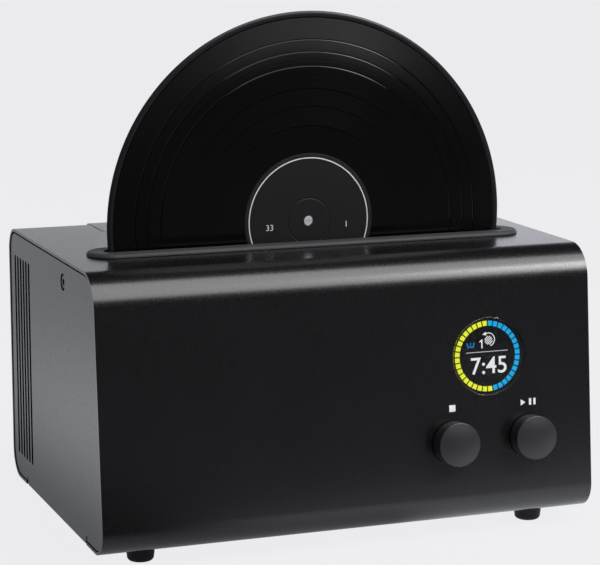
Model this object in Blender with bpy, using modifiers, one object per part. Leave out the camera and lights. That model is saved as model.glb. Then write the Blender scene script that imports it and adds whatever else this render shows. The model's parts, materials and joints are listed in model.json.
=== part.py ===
"""Record cleaning machine: a bench-top washer that turns a 12-inch record through an ultrasonic bath.

Units are metres and +Z is up. +X is the machine's right as its user faces it, and the front looks
along -Y. The origin is on the surface that the feet stand on, under the middle of the whole machine.
"""

import math

import bmesh
import bpy
from mathutils import Matrix, Vector

# Casing: a wrapped front, top and rear sheet over a tray whose sides close the ends
RECORD_RADIUS = 0.1506
RECORD_RISE = 0.0167
RECORD_TO_SIDE = 0.0329
RECORD_TO_BASE = 0.0580
BODY_WIDTH = 2 * (RECORD_RADIUS + RECORD_TO_SIDE)
BODY_HEIGHT = RECORD_TO_BASE + RECORD_RADIUS - RECORD_RISE
BODY_DEPTH = 0.2563
FRONT_SETBACK = 0.0165
SHEET = 0.002
FRONT_TOP_RADIUS = 0.025
FRONT_BOTTOM_RADIUS = 0.019
REAR_TOP_RADIUS = 0.018
REAR_BOTTOM_RADIUS = 0.020
FRONT_LIP = 0.044
REAR_LIP = 0.0413
SIDE_INSET = 0.0006
SEAM = 0.0005
RELIEF_WIDTH = 0.0026
RELIEF_HEIGHT = 0.0058

# Clearances: between fixed pieces, round a turning piece, and how far a cut runs past a face
GAP = 0.0003
RUNNING = 0.0003
SHAFT_FIT = 0.0001
OVERRUN = 0.005
WELD = 0.00001

# Feet
FOOT_HEIGHT = 0.0112
FOOT_RADIUS = 0.0100
FOOT_BASE_RADIUS = 0.0088
FOOT_EDGE = 0.0032
FOOT_FROM_SIDE = 0.0355
FOOT_FROM_FRONT = 0.0335
FOOT_STUD_RADIUS = 0.0025
FOOT_STUD_LENGTH = 0.0085

# Side vents
VENT_COUNT = 6
VENT_WIDTH = 0.0040
VENT_PITCH = 0.0083
VENT_BOTTOM = 0.0187
VENT_FROM_TOP = 0.0194
VENT_TOP = BODY_HEIGHT - VENT_FROM_TOP
VENT_FROM_REAR = 0.0171

# Record: a 12-inch disc that stands in the bath, its centre above the casing
RECORD_SETBACK_SHARE = 0.381194
RECORD_SETBACK = RECORD_SETBACK_SHARE * BODY_DEPTH
RECORD_HOLE_RADIUS = 0.00362
RECORD_THICKNESS = 0.0016
RECORD_BEAD = 0.0021
RECORD_BEAD_WIDTH = 0.0030
LABEL_RADIUS = 0.0490
LABEL_THICKNESS = 0.0002
LABEL_GAP = 0.00015

# Slot bezel: a raised stadium round the record slot, with a collar through the top sheet
SLOT_END_ROOM = 0.0024
SLOT_HALF_LENGTH = RECORD_RADIUS + SLOT_END_ROOM
SLOT_HALF_WIDTH = 0.0060
BEZEL_BAND = 0.0120
BEZEL_HEIGHT = 0.0030
BEZEL_EDGE = 0.0012
COLLAR_WALL = 0.0055
COLLAR_DROP = 0.0060

# Wash bath
BATH_GAP = 0.0140
BATH_WALL = 0.0025
BATH_SIDE_CLEARANCE = 0.0064
BATH_BOTTOM_CLEARANCE = 0.0130
BATH_CORNER_SHARES = (0.378486, 0.398406)
BATH_CORNER_RUN, BATH_CORNER_RISE = (share * RECORD_RADIUS for share in BATH_CORNER_SHARES)
BATH_CORNER_RADIUS = 0.012
BATH_NOZZLE_RADIUS = 0.0050
BATH_NOZZLE_BORE = 0.0032
BATH_NOZZLE_LENGTH = 0.0085
AIR_PORT_WIDTH = 0.0180
AIR_PORT_HEIGHT = 0.0180
AIR_PORT_FROM_TOP = 0.0120
AIR_PORT_FROM_END = 0.0030

# Bath brackets and the side screws that hold them
BRACKET_HALF_DEPTH = 0.0080
BRACKET_HALF_HEIGHT = 0.0100
SIDE_SCREW_FROM_TOP = 0.0171
SIDE_SCREW_HEIGHT = BODY_HEIGHT - SIDE_SCREW_FROM_TOP
SIDE_HOLE_RADIUS = 0.0062
SCREW_HEAD_RADIUS = 0.0050
SCREW_HEAD_LENGTH = 0.0045
SCREW_HEAD_SUNK = 0.0005
SCREW_SHANK_RADIUS = 0.0025
SCREW_SHANK_LENGTH = 0.0120
SCREW_SOCKET_RADIUS = 0.0025
SCREW_SOCKET_DEPTH = 0.0028

# Rollers that carry the record, and the belt drive
ROLLER_ANGLE = math.radians(50)
ROLLER_GROOVE_RADIUS = 0.0090
ROLLER_RIM_RADIUS = 0.0115
ROLLER_WIDTH = 0.0100
ROLLER_GROOVE_FLOOR = 0.0030
ROLLER_GROOVE_MOUTH = 0.0064
SHAFT_RADIUS = 0.0025
IDLER_PIN_RADIUS = 0.0030
PULLEY_STANDOFF = 0.0040
PULLEY_WIDTH = 0.0080
PULLEY_FLANGE = 0.0015
PULLEY_FLANGE_WIDTH = 0.0009
DRIVEN_PULLEY_RADIUS = 0.0120
MOTOR_PULLEY_RADIUS = 0.0070
BELT_CENTRES = 0.052
BELT_WIDTH = 0.0050
BELT_THICKNESS = 0.0012
MOTOR_RADIUS = 0.0180
MOTOR_TO_SUPPLY = 0.0073
MOTOR_SHAFT_RADIUS = 0.0020
MOTOR_SHAFT_SEAT = 0.0050
MOTOR_BOSS_RADIUS = 0.0050
MOTOR_BOSS_LENGTH = 0.0024
MOTOR_PLATE = 0.0020
MOTOR_PLATE_FOOT = 0.018
MOTOR_PLATE_MARGIN = 0.0040
PULLEY_TO_PLATE = 0.0015

# Ultrasonic transducers, two on each wall of the bath
TRANSDUCER_RADIUS = 0.0170
TRANSDUCER_LENGTH = 0.0200
TRANSDUCER_FLANGE_RADIUS = 0.0190
TRANSDUCER_FLANGE = 0.0040
TRANSDUCER_SHARES = (0.664011, 0.510683)
TRANSDUCER_SPACING = TRANSDUCER_SHARES[0] * RECORD_RADIUS
TRANSDUCER_HEIGHT = TRANSDUCER_SHARES[1] * BODY_HEIGHT

# Controls on the leaning front: heights run up the face from its bottom edge
CONTROLS_SHARES = (0.283651, 0.617509, 0.308494)
CONTROLS_X = CONTROLS_SHARES[0] * BODY_WIDTH
DISPLAY_HEIGHT = CONTROLS_SHARES[1] * BODY_HEIGHT
DISPLAY_RADIUS = 0.0280
DISPLAY_THICKNESS = 0.0024
DISPLAY_PROUD = 0.0004
DISPLAY_EDGE = 0.0004
SCREEN_RADIUS = 0.0262
KNOB_HEIGHT = CONTROLS_SHARES[2] * BODY_HEIGHT
KNOB_SPACING = 0.0598
KNOB_RADIUS = 0.0155
KNOB_LENGTH = 0.0150
KNOB_STANDOFF = 0.0015
KNOB_EDGE = 0.0009
KNOB_WALL = 0.0025
KNOB_SKIRT = 0.0080
KNOB_HUB_RADIUS = 0.0060
KNOB_BORE_DEPTH = 0.0100
ENCODER_SHAFT_RADIUS = 0.0030
ENCODER_SIZE = 0.0135
ENCODER_DEPTH = 0.0066
PLUNGER_WALL = 0.0011
PLUNGER_LENGTH = 0.0050
FRAME_DEPTH = 0.0085
FRAME_MARGIN = 0.0080
BOARD_THICKNESS = 0.0016

# Water tank at the rear left: it lifts straight out of the top
TANK_SHARES = (0.160763, 0.544959, 0.218494)
TANK_OPENING_LEFT = TANK_SHARES[0] * BODY_WIDTH
TANK_OPENING_LENGTH = TANK_SHARES[1] * BODY_WIDTH
TANK_OPENING_DEPTH = TANK_SHARES[2] * BODY_DEPTH
TANK_CORNER_RADIUS = 0.0060
TANK_CLEARANCE = 0.0006
TANK_REAR_DROP = 0.0220
TANK_WALL = 0.0025
TANK_END_ROOM = 0.0030
TANK_LENGTH = TANK_OPENING_LENGTH - 2 * TANK_END_ROOM
TANK_DEPTH = TANK_OPENING_DEPTH - 2 * TANK_END_ROOM
LID_THICKNESS = 0.0060
LID_EDGE_RADIUS = 0.0100
LID_SKIRT = 0.0022
LID_PLUG_DEPTH = 0.0050
LID_PLUG_WALL = 0.0016
LID_POCKET_SHARES = (0.56, 0.54)
LID_POCKET_LENGTH = LID_POCKET_SHARES[0] * TANK_OPENING_LENGTH
LID_POCKET_WIDTH = LID_POCKET_SHARES[1] * TANK_DEPTH
LID_POCKET_DEPTH = 0.0046
HANDLE_ROD_RADIUS = 0.0014
HANDLE_END_ROOM = 0.0040
HANDLE_FRONT_ROOM = 0.0070
HANDLE_SPAN = LID_POCKET_LENGTH - 2 * HANDLE_END_ROOM
HANDLE_REACH = LID_POCKET_WIDTH - HANDLE_FRONT_ROOM
HANDLE_BEND = 0.0040
HANDLE_PIN_IN_WALL = 0.0030
HANDLE_PIN_BEND = 0.0020
HANDLE_FROM_REAR = 0.0036
SPIGOT_RADIUS = 0.0070
SPIGOT_BORE = 0.0050
SPIGOT_LENGTH = 0.0095
SPIGOT_SHARE = 0.385
SPIGOT_FROM_LEFT = SPIGOT_SHARE * TANK_OPENING_LENGTH
SPONGE_RADIUS_SHARE = 0.34
SPONGE_RADIUS = SPONGE_RADIUS_SHARE * TANK_DEPTH
SPONGE_HEIGHT = 0.045
CRADLE_WALL = 0.0030
CRADLE_FLOOR_TOP = 0.0300
CRADLE_FLOOR = 0.0035
CRADLE_POCKET = 0.0100

# Reversible water pump
PUMP_SETBACK_SHARE = 0.616465
PUMP_SETBACK = PUMP_SETBACK_SHARE * BODY_DEPTH
PUMP_AXIS_HEIGHT = 0.030
PUMP_FACE_X = 0.008
PUMP_RADIUS = 0.0220
PUMP_LENGTH = 0.0240
PUMP_WALL = 0.0030
PUMP_NOZZLE_RADIUS = 0.0040
PUMP_NOZZLE_BORE = 0.0025
PUMP_NOZZLE_LENGTH = 0.0140
PUMP_MOTOR_RADIUS = 0.0170
PUMP_MOTOR_LENGTH = 0.048
PUMP_FLANGE = 0.0030
PUMP_FOOT_WIDTH = 0.024
PUMP_FOOT_INSET = 0.0020
IMPELLER_RADIUS = 0.0165
IMPELLER_DISC = 0.0030
IMPELLER_VANE = 0.0070
IMPELLER_VANE_START = 0.0055
IMPELLER_VANE_THICKNESS = 0.0020
IMPELLER_VANES = 5
IMPELLER_SHAFT_LENGTH = 0.0150
IMPELLER_CLEARANCE = 0.0010
OUTLET_DROP = 0.0140
HOSE_FLOOR_CLEARANCE = 0.0015
HOSE_RADIUS = 0.0040
HOSE_BEND = 0.0085

# Drying fans and their ducts
FAN_SIZE_SHARE = 0.312663
FAN_SIZE = FAN_SIZE_SHARE * BODY_HEIGHT
FAN_THICKNESS = 0.0200
FAN_RIM = 0.0020
FAN_BORE_RADIUS = FAN_SIZE / 2 - FAN_RIM
FAN_HUB_RADIUS = 0.0125
FAN_STRUT = 0.0040
FAN_BACKPLATE = 0.0030
FAN_BLADES = 7
FAN_BLADE_THICKNESS = 0.0012
FAN_BLADE_CHORD = 0.0130
FAN_BLADE_ROOT = 0.0012
FAN_BLADE_PITCH = math.radians(38)
FAN_TIP_CLEARANCE = 0.0010
FAN_PIN_RADIUS = 0.0020
FAN_PIN_LENGTH = 0.0080
FAN_END_CLEARANCE = 0.0010
DUCT_WIDTH = 0.0280
DUCT_WALL = 0.0020

# Electronics
BOARD_SHARES = (0.305177, 0.273117, 0.468201)
BOARD_LENGTH = BOARD_SHARES[0] * BODY_WIDTH
BOARD_DEPTH = BOARD_SHARES[1] * BODY_DEPTH
BOARD_FROM_LEFT = 0.0160
BOARD_SETBACK = BOARD_SHARES[2] * BODY_DEPTH
BOARD_BOSS_RADIUS = 0.0030
BOARD_BOSS_HEIGHT = 0.0060
BOARD_BOSS_INSET = 0.0060
SUPPLY_SHARES = (0.158038, 0.210691, 0.229286)
SUPPLY_LENGTH = SUPPLY_SHARES[0] * BODY_WIDTH
SUPPLY_DEPTH = SUPPLY_SHARES[1] * BODY_DEPTH
SUPPLY_HEIGHT = SUPPLY_SHARES[2] * BODY_HEIGHT
SUPPLY_FROM_STUD = 0.0015

# Mains inlet and power switch on the rear
INLET_X_SHARE = 0.367847
INLET_X = INLET_X_SHARE * BODY_WIDTH
INLET_HEIGHT_SHARE = 0.343929
INLET_HEIGHT = INLET_HEIGHT_SHARE * BODY_HEIGHT
INLET_LENGTH = 0.0275
INLET_TALL = 0.0200
INLET_DEPTH = 0.0240
INLET_EAR = 0.0110
INLET_FLANGE = 0.0020
INLET_RECESS = 0.0160
INLET_WALL = 0.0017
PIN_WIDTH = 0.0020
PIN_TALL = 0.0038
PIN_LENGTH = 0.0130
PIN_SPACING = 0.0070
PIN_RAISE = 0.0020
SWITCH_ABOVE_INLET = 0.0320
SWITCH_HEIGHT = INLET_HEIGHT + SWITCH_ABOVE_INLET
SWITCH_TALL = 0.0280
SWITCH_WIDE = 0.0180
SWITCH_DEPTH = 0.0150
SWITCH_BORDER = 0.0020
SWITCH_POCKET = 0.0085
ROCKER_TALL = 0.0200
ROCKER_WIDE = 0.0122
ROCKER_SINK = 0.0015
ROCKER_THICKNESS = 0.0040
ROCKER_TILT = math.radians(8)
ROCKER_PIN_RADIUS = 0.0011
ROCKER_PIN_LENGTH = 0.0010

# How round things are: segments of a full circle, and points of one rounded corner
FINE = 72
ROUND = 32
SMALL = 16
CORNER = 6

LEAN = math.atan2(FRONT_SETBACK, BODY_HEIGHT)
LEAN_SINE = math.sin(LEAN)
LEAN_COSINE = math.cos(LEAN)
HALF_TURN = math.pi
QUARTER_TURN = math.pi / 2
HALF_WIDTH = BODY_WIDTH / 2

# The machine's foremost point is the lower edge of the knobs, and its rearmost is the inlet's flange
KNOB_REACH = (
    (KNOB_LENGTH - KNOB_EDGE) * LEAN_COSINE
    + (KNOB_RADIUS - KNOB_EDGE) * LEAN_SINE
    + KNOB_EDGE
    - KNOB_HEIGHT * LEAN_SINE
)
REAR_REACH = GAP + INLET_FLANGE
FRONT_Y = (KNOB_REACH - BODY_DEPTH - REAR_REACH) / 2

RECORD_Z = BODY_HEIGHT + RECORD_RISE
RECORD_CENTRE = Vector((0, FRONT_Y + RECORD_SETBACK, FOOT_HEIGHT + RECORD_Z))

ALONG_X = Matrix.Rotation(QUARTER_TURN, 4, "Y")
ALONG_MINUS_X = Matrix.Rotation(-QUARTER_TURN, 4, "Y")
FACING_FRONT = Matrix.Rotation(QUARTER_TURN, 4, "X")
FACING_REAR = Matrix.Rotation(-QUARTER_TURN, 4, "X")
OUT_OF_FRONT = Matrix.Rotation(QUARTER_TURN - LEAN, 4, "X")
UPRIGHT = Matrix.Identity(4)
SIDE_ON = Matrix(((0, 0, 1, 0), (1, 0, 0, 0), (0, 1, 0, 0), (0, 0, 0, 1)))


def at(x, back, up):
    """A world point from x, the distance behind the front's bottom edge and the height over the underside."""
    return Vector((x, FRONT_Y + back, FOOT_HEIGHT + up))


def on_front(x, height, out=0.0):
    """A world point on the leaning front, height up its face and out of it along its normal."""
    return at(x, height * LEAN_SINE - out * LEAN_COSINE, height * LEAN_COSINE + out * LEAN_SINE)


def clear_scene():
    for old in list(bpy.data.objects):
        bpy.data.objects.remove(old, do_unlink=True)


def new_collection(name):
    group = bpy.data.collections.new(name)
    bpy.context.scene.collection.children.link(group)
    return group


clear_scene()
PARTS = new_collection("record_cleaning_machine")
CUTTERS = new_collection("cutters")


def material(name, colour, roughness, metallic=0.0):
    made = bpy.data.materials.new(name)
    made.use_nodes = True
    shader = made.node_tree.nodes["Principled BSDF"]
    shader.inputs["Base Color"].default_value = (*colour, 1.0)
    shader.inputs["Roughness"].default_value = roughness
    shader.inputs["Metallic"].default_value = metallic
    return made


BLACK_CASE = material("black_anodised_sheet", (0.020, 0.020, 0.022), 0.45, 0.6)
GREY_SIDE = material("grey_side_sheet", (0.075, 0.077, 0.085), 0.40, 0.7)
SATIN_TRIM = material("satin_dark_trim", (0.060, 0.065, 0.070), 0.35, 0.5)
BLACK_RUBBER = material("black_rubber", (0.012, 0.012, 0.013), 0.75)
BLACK_PLASTIC = material("black_plastic", (0.018, 0.018, 0.020), 0.50)
KNOB_BLACK = material("knob_black", (0.045, 0.046, 0.048), 0.48)
VINYL = material("black_vinyl", (0.004, 0.004, 0.005), 0.16)
LABEL_PAPER = material("grey_label_paper", (0.018, 0.018, 0.020), 0.65)
GLASS_BLACK = material("black_display_glass", (0.004, 0.004, 0.005), 0.08)
SCREEN_BLACK = material("display_screen", (0.010, 0.010, 0.012), 0.35)
STEEL = material("bright_steel", (0.60, 0.60, 0.61), 0.30, 1.0)
BATH_STEEL = material("bath_stainless", (0.50, 0.51, 0.53), 0.32, 1.0)
ALUMINIUM = material("cast_aluminium", (0.52, 0.53, 0.54), 0.40, 1.0)
BOARD_GREEN = material("circuit_board", (0.020, 0.090, 0.045), 0.55)
TANK_PLASTIC = material("smoked_tank_plastic", (0.10, 0.10, 0.11), 0.25)
LID_GREY = material("grey_lid_plastic", (0.20, 0.20, 0.22), 0.45)
SPONGE = material("filter_sponge", (0.55, 0.56, 0.50), 0.95)
HOSE = material("clear_hose", (0.62, 0.64, 0.62), 0.40)


def add_object(name, mesh, finish, matrix):
    """A new object in the parts, or in the hidden cutters when it has no finish."""
    made = bpy.data.objects.new(name, mesh)
    made.matrix_world = matrix
    if finish is None:
        CUTTERS.objects.link(made)
        made.hide_render = True
        made.display_type = "WIRE"
    else:
        PARTS.objects.link(made)
        mesh.materials.append(finish)
    return made


def smooth(mesh):
    mesh.shade_smooth()
    mesh.set_sharp_from_angle(angle=math.radians(35))


def finish_mesh(form, name):
    mesh = bpy.data.meshes.new(name)
    form.to_mesh(mesh)
    form.free()
    smooth(mesh)
    return mesh


def block(name, size, matrix, finish=None, bevel=0.0):
    """A box of the given size, centred on its matrix."""
    form = bmesh.new()
    bmesh.ops.create_cube(form, size=1.0, matrix=Matrix.Diagonal((*size, 1.0)))
    made = add_object(name, finish_mesh(form, name), finish, matrix)
    if bevel:
        rounding = made.modifiers.new("rounded_edges", "BEVEL")
        rounding.width = bevel
        rounding.segments = 2
        rounding.limit_method = "ANGLE"
    return made


def box(name, low, high, finish=None, bevel=0.0):
    """A box between two corners, square to the axes."""
    low, high = Vector(low), Vector(high)
    return block(name, high - low, Matrix.Translation((low + high) / 2), finish, bevel)


def rod(name, start, axis_turn, length, radius, finish=None, segments=ROUND):
    """A cylinder from start, along the turned +Z."""
    form = bmesh.new()
    bmesh.ops.create_cone(
        form,
        cap_ends=True,
        segments=segments,
        radius1=radius,
        radius2=radius,
        depth=length,
        matrix=Matrix.Translation((0, 0, length / 2)),
    )
    return add_object(name, finish_mesh(form, name), finish, Matrix.Translation(start) @ axis_turn)


def turned(name, profile, start, axis_turn, finish=None, steps=ROUND, ring=False):
    """A profile of (radius, height) points, top to bottom on its outer side, turned about +Z.

    A ring's profile is closed, and a solid's begins and ends on the axis."""
    mesh = bpy.data.meshes.new(name)
    edges = [(i, i + 1) for i in range(len(profile) - 1)]
    if ring:
        edges.append((len(profile) - 1, 0))
    mesh.from_pydata([(radius, 0, height) for radius, height in profile], edges, [])
    made = add_object(name, mesh, finish, Matrix.Translation(start) @ axis_turn)
    screw = made.modifiers.new("turned", "SCREW")
    screw.axis = "Z"
    screw.steps = steps
    screw.render_steps = steps
    screw.use_merge_vertices = True
    screw.merge_threshold = WELD
    screw.use_smooth_shade = False
    return made


def ring_profile(inner, outer, low, high):
    return [(outer, high), (outer, low), (inner, low), (inner, high)]


def plate(name, loops, thickness, centre, turn, finish=None):
    """A flat outline in local X and Y, with its holes, thick along local Z and centred on it."""
    outline = bpy.data.curves.new(name + "_outline", "CURVE")
    outline.dimensions = "2D"
    outline.fill_mode = "BOTH"
    outline.extrude = thickness / 2
    for loop in loops:
        spline = outline.splines.new("POLY")
        spline.points.add(len(loop) - 1)
        for point, place in zip(spline.points, loop):
            point.co = (place[0], place[1], 0, 1)
        spline.use_cyclic_u = True
    return solid_from_curve(name, outline, Matrix.Translation(centre) @ turn, finish)


def tube(name, points, radius, finish):
    """A round rod along world points, with filled ends."""
    route = bpy.data.curves.new(name + "_route", "CURVE")
    route.dimensions = "3D"
    route.bevel_depth = radius
    route.bevel_resolution = 2
    route.use_fill_caps = True
    spline = route.splines.new("POLY")
    spline.points.add(len(points) - 1)
    for point, place in zip(spline.points, points):
        point.co = (*place, 1)
    return solid_from_curve(name, route, UPRIGHT, finish)


def solid_from_curve(name, curve, matrix, finish):
    """The curve's evaluated mesh with its caps welded on, at the given matrix."""
    holder = bpy.data.objects.new(name + "_curve", curve)
    bpy.context.scene.collection.objects.link(holder)
    bpy.context.view_layer.update()
    graph = bpy.context.evaluated_depsgraph_get()
    mesh = bpy.data.meshes.new_from_object(holder.evaluated_get(graph))
    bpy.data.objects.remove(holder, do_unlink=True)
    bpy.data.curves.remove(curve)
    form = bmesh.new()
    form.from_mesh(mesh)
    bpy.data.meshes.remove(mesh)
    bmesh.ops.remove_doubles(form, verts=form.verts, dist=WELD)
    bmesh.ops.recalc_face_normals(form, faces=form.faces)
    return add_object(name, finish_mesh(form, name), finish, matrix)


def combine(target, operation, tools):
    for tool in tools:
        step = target.modifiers.new(tool.name, "BOOLEAN")
        step.operation = operation
        step.solver = "EXACT"
        step.object = tool
    return target


def cut(target, *tools):
    return combine(target, "DIFFERENCE", tools)


def fuse(target, *tools):
    return combine(target, "UNION", tools)


def keep_common(target, *tools):
    return combine(target, "INTERSECT", tools)


def rounded(corners, radii, cyclic=True, steps=CORNER):
    """The points of a path whose corners are rounded by arcs. An open path's end radii are zero."""
    points = []
    count = len(corners)
    for i, (corner, radius) in enumerate(zip(corners, radii)):
        corner = Vector(corner)
        if not radius or (not cyclic and i in (0, count - 1)):
            points.append(corner)
            continue
        before = (Vector(corners[i - 1]) - corner).normalized()
        after = (Vector(corners[(i + 1) % count]) - corner).normalized()
        half = before.angle(after) / 2
        centre = corner + (before + after).normalized() * (radius / math.sin(half))
        start = corner + before * (radius / math.tan(half)) - centre
        end = corner + after * (radius / math.tan(half)) - centre
        for k in range(steps + 1):
            share = k / steps
            sweep = HALF_TURN - 2 * half
            blend = start * (math.sin((1 - share) * sweep) / math.sin(sweep))
            points.append(centre + blend + end * (math.sin(share * sweep) / math.sin(sweep)))
    return points


def shrunk(corners, distances):
    """A counter-clockwise loop with each side, from its corner to the next, moved inwards."""
    count = len(corners)
    sides = []
    for i in range(count):
        start, end = Vector(corners[i]), Vector(corners[(i + 1) % count])
        along = (end - start).normalized()
        inward = Vector((-along.y, along.x))
        sides.append((start + inward * distances[i], along))
    moved = []
    for i in range(count):
        (p, u), (q, v) = sides[i - 1], sides[i]
        reach = (q - p).cross(v) / u.cross(v)
        moved.append(p + u * reach)
    return moved


def stadium(half_length, radius, steps=ROUND // 2):
    """A stadium along X, counter-clockwise, whose overall half length is given."""
    straight = half_length - radius
    points = []
    for side, first in ((1, -QUARTER_TURN), (-1, QUARTER_TURN)):
        for k in range(steps + 1):
            angle = first + HALF_TURN * k / steps
            points.append((side * straight + radius * math.cos(angle), radius * math.sin(angle)))
    return points


# Casing
CASING_CORNERS = [(0, 0), (BODY_DEPTH, 0), (BODY_DEPTH, BODY_HEIGHT), (FRONT_SETBACK, BODY_HEIGHT)]
CASING_RADII = [FRONT_BOTTOM_RADIUS, REAR_BOTTOM_RADIUS, REAR_TOP_RADIUS, FRONT_TOP_RADIUS]
PANEL_INNER_X = HALF_WIDTH - SIDE_INSET - SHEET
TANK_LEFT = TANK_OPENING_LEFT - HALF_WIDTH
TANK_RIGHT = TANK_LEFT + TANK_OPENING_LENGTH
TANK_FRONT = BODY_DEPTH - TANK_OPENING_DEPTH


def casing_loop(inset):
    """The casing's side outline, moved inwards by inset and with its corners rounded."""
    corners = shrunk(CASING_CORNERS, [inset] * len(CASING_CORNERS))
    return rounded(corners, [radius - inset for radius in CASING_RADII])


def wrap_path(inset):
    """The side path of the wrapped sheet, from its front lip's end round to its rear lip's end."""
    front, rear, rear_top, front_top = shrunk(CASING_CORNERS, [inset] * len(CASING_CORNERS))
    lips = [(FRONT_LIP, inset), (BODY_DEPTH - REAR_LIP, inset)]
    fillets = [radius - inset for radius in CASING_RADII]
    radii = [0, fillets[0], fillets[3], fillets[2], fillets[1], 0]
    return rounded([lips[0], front, front_top, rear_top, rear, lips[1]], radii, cyclic=False)


def tank_plan(clearance, overrun):
    """The tank opening in plan, its front corners rounded and its rear past the casing by overrun."""
    left, right = TANK_LEFT + clearance, TANK_RIGHT - clearance
    front, rear = TANK_FRONT + clearance, BODY_DEPTH + overrun
    corners = [(left, front), (right, front), (right, rear), (left, rear)]
    radius = TANK_CORNER_RADIUS - clearance
    return rounded(corners, [radius, radius, 0, 0])


def foot_places():
    x = HALF_WIDTH - FOOT_FROM_SIDE
    rear = BODY_DEPTH - FOOT_FROM_FRONT
    return {
        "foot_front_left": (-x, FOOT_FROM_FRONT),
        "foot_front_right": (x, FOOT_FROM_FRONT),
        "foot_rear_left": (-x, rear),
        "foot_rear_right": (x, rear),
    }


def make_outer_shell():
    section = wrap_path(0) + list(reversed(wrap_path(SHEET)))
    shell = plate("outer_shell", [section], BODY_WIDTH, at(0, 0, 0), SIDE_ON, BLACK_CASE)
    reach = SLOT_HALF_WIDTH + COLLAR_WALL + GAP
    slot = stadium(SLOT_HALF_LENGTH - SLOT_HALF_WIDTH + reach, reach)
    top = at(0, RECORD_SETBACK, BODY_HEIGHT)
    cut(shell, plate("slot_cut", [slot], 2 * OVERRUN, top, UPRIGHT))
    deep = TANK_REAR_DROP + OVERRUN
    middle = at(0, 0, BODY_HEIGHT + OVERRUN - deep / 2)
    cut(shell, plate("tank_cut", [tank_plan(0, OVERRUN)], deep, middle, UPRIGHT))
    start = on_front(CONTROLS_X, DISPLAY_HEIGHT, -SHEET - OVERRUN)
    through = SHEET + 2 * OVERRUN
    cut(shell, rod("display_cut", start, OUT_OF_FRONT, through, DISPLAY_RADIUS + GAP, segments=FINE))
    for side, x in knob_places():
        start = on_front(x, KNOB_HEIGHT, -SHEET - OVERRUN)
        radius = ENCODER_SHAFT_RADIUS + RUNNING
        cut(shell, rod(side + "_shaft_cut", start, OUT_OF_FRONT, through, radius, segments=SMALL))
    rear_low = BODY_DEPTH - SHEET - OVERRUN
    rear_high = BODY_DEPTH + OVERRUN
    for name, height, wide, tall in (
        ("inlet_cut", INLET_HEIGHT, INLET_LENGTH, INLET_TALL),
        ("switch_cut", SWITCH_HEIGHT, SWITCH_WIDE, SWITCH_TALL),
    ):
        half_wide, half_tall = wide / 2 + GAP, tall / 2 + GAP
        low = at(INLET_X - half_wide, rear_low, height - half_tall)
        high = at(INLET_X + half_wide, rear_high, height + half_tall)
        cut(shell, box(name, low, high))
    for name, (x, back) in foot_places().items():
        radius = FOOT_STUD_RADIUS + GAP
        start = at(x, back, -OVERRUN)
        cut(shell, rod(name + "_cut", start, UPRIGHT, SHEET + 2 * OVERRUN, radius, segments=SMALL))


def make_chassis():
    """A tray: the base between the lips, and both sides folded up from it."""
    width = BODY_WIDTH - 2 * SIDE_INSET
    tray = plate("chassis", [casing_loop(SHEET + SEAM)], width, at(0, 0, 0), SIDE_ON, GREY_SIDE)
    front, rear = FRONT_LIP + SEAM, BODY_DEPTH - REAR_LIP - SEAM
    base_top = SHEET + SEAM + OVERRUN
    fuse(tray, box("base_slab", at(-width / 2, front, 0), at(width / 2, rear, base_top)))
    low = at(-PANEL_INNER_X, -OVERRUN, SHEET)
    cut(tray, box("tray_room", low, at(PANEL_INNER_X, BODY_DEPTH, BODY_HEIGHT)))
    rear_relief = BODY_DEPTH - REAR_LIP - RELIEF_WIDTH
    for side, side_name in ((-1, "left"), (1, "right")):
        near, far = sorted((side * (HALF_WIDTH - RELIEF_HEIGHT), side * HALF_WIDTH))
        for name, back in (("_front_relief", FRONT_LIP), ("_rear_relief", rear_relief)):
            low = at(near, back, -OVERRUN)
            cut(tray, box(side_name + name, low, at(far, back + RELIEF_WIDTH, RELIEF_HEIGHT)))
    for k in range(VENT_COUNT):
        back = BODY_DEPTH - VENT_FROM_REAR - k * VENT_PITCH
        half = (VENT_TOP - VENT_BOTTOM) / 2
        slot = [(y, x) for x, y in stadium(half, VENT_WIDTH / 2, CORNER)]
        middle = at(0, back, VENT_BOTTOM + half)
        cut(tray, plate(f"vent_cut_{k + 1}", [slot], BODY_WIDTH, middle, SIDE_ON))
    start = at(-HALF_WIDTH, RECORD_SETBACK, SIDE_SCREW_HEIGHT)
    cut(tray, rod("side_screw_cut", start, ALONG_X, BODY_WIDTH, SIDE_HOLE_RADIUS))
    for k, (x, back) in enumerate(board_corners()):
        start = at(x, back, SHEET / 2)
        height = SHEET / 2 + BOARD_BOSS_HEIGHT
        boss = rod(f"board_boss_{k + 1}", start, UPRIGHT, height, BOARD_BOSS_RADIUS, segments=SMALL)
        fuse(tray, boss)


def make_feet():
    base = -FOOT_HEIGHT
    profile = [
        (0, FOOT_STUD_LENGTH),
        (FOOT_STUD_RADIUS, FOOT_STUD_LENGTH),
        (FOOT_STUD_RADIUS, -GAP),
        (FOOT_RADIUS, -GAP),
        (FOOT_BASE_RADIUS + FOOT_EDGE / 4, base + FOOT_EDGE),
        (FOOT_BASE_RADIUS - FOOT_EDGE / 4, base + FOOT_EDGE / 3),
        (FOOT_BASE_RADIUS - FOOT_EDGE, base),
        (0, base),
    ]
    for name, (x, back) in foot_places().items():
        turned(name, profile, at(x, back, 0), UPRIGHT, BLACK_RUBBER, steps=SMALL)


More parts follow.
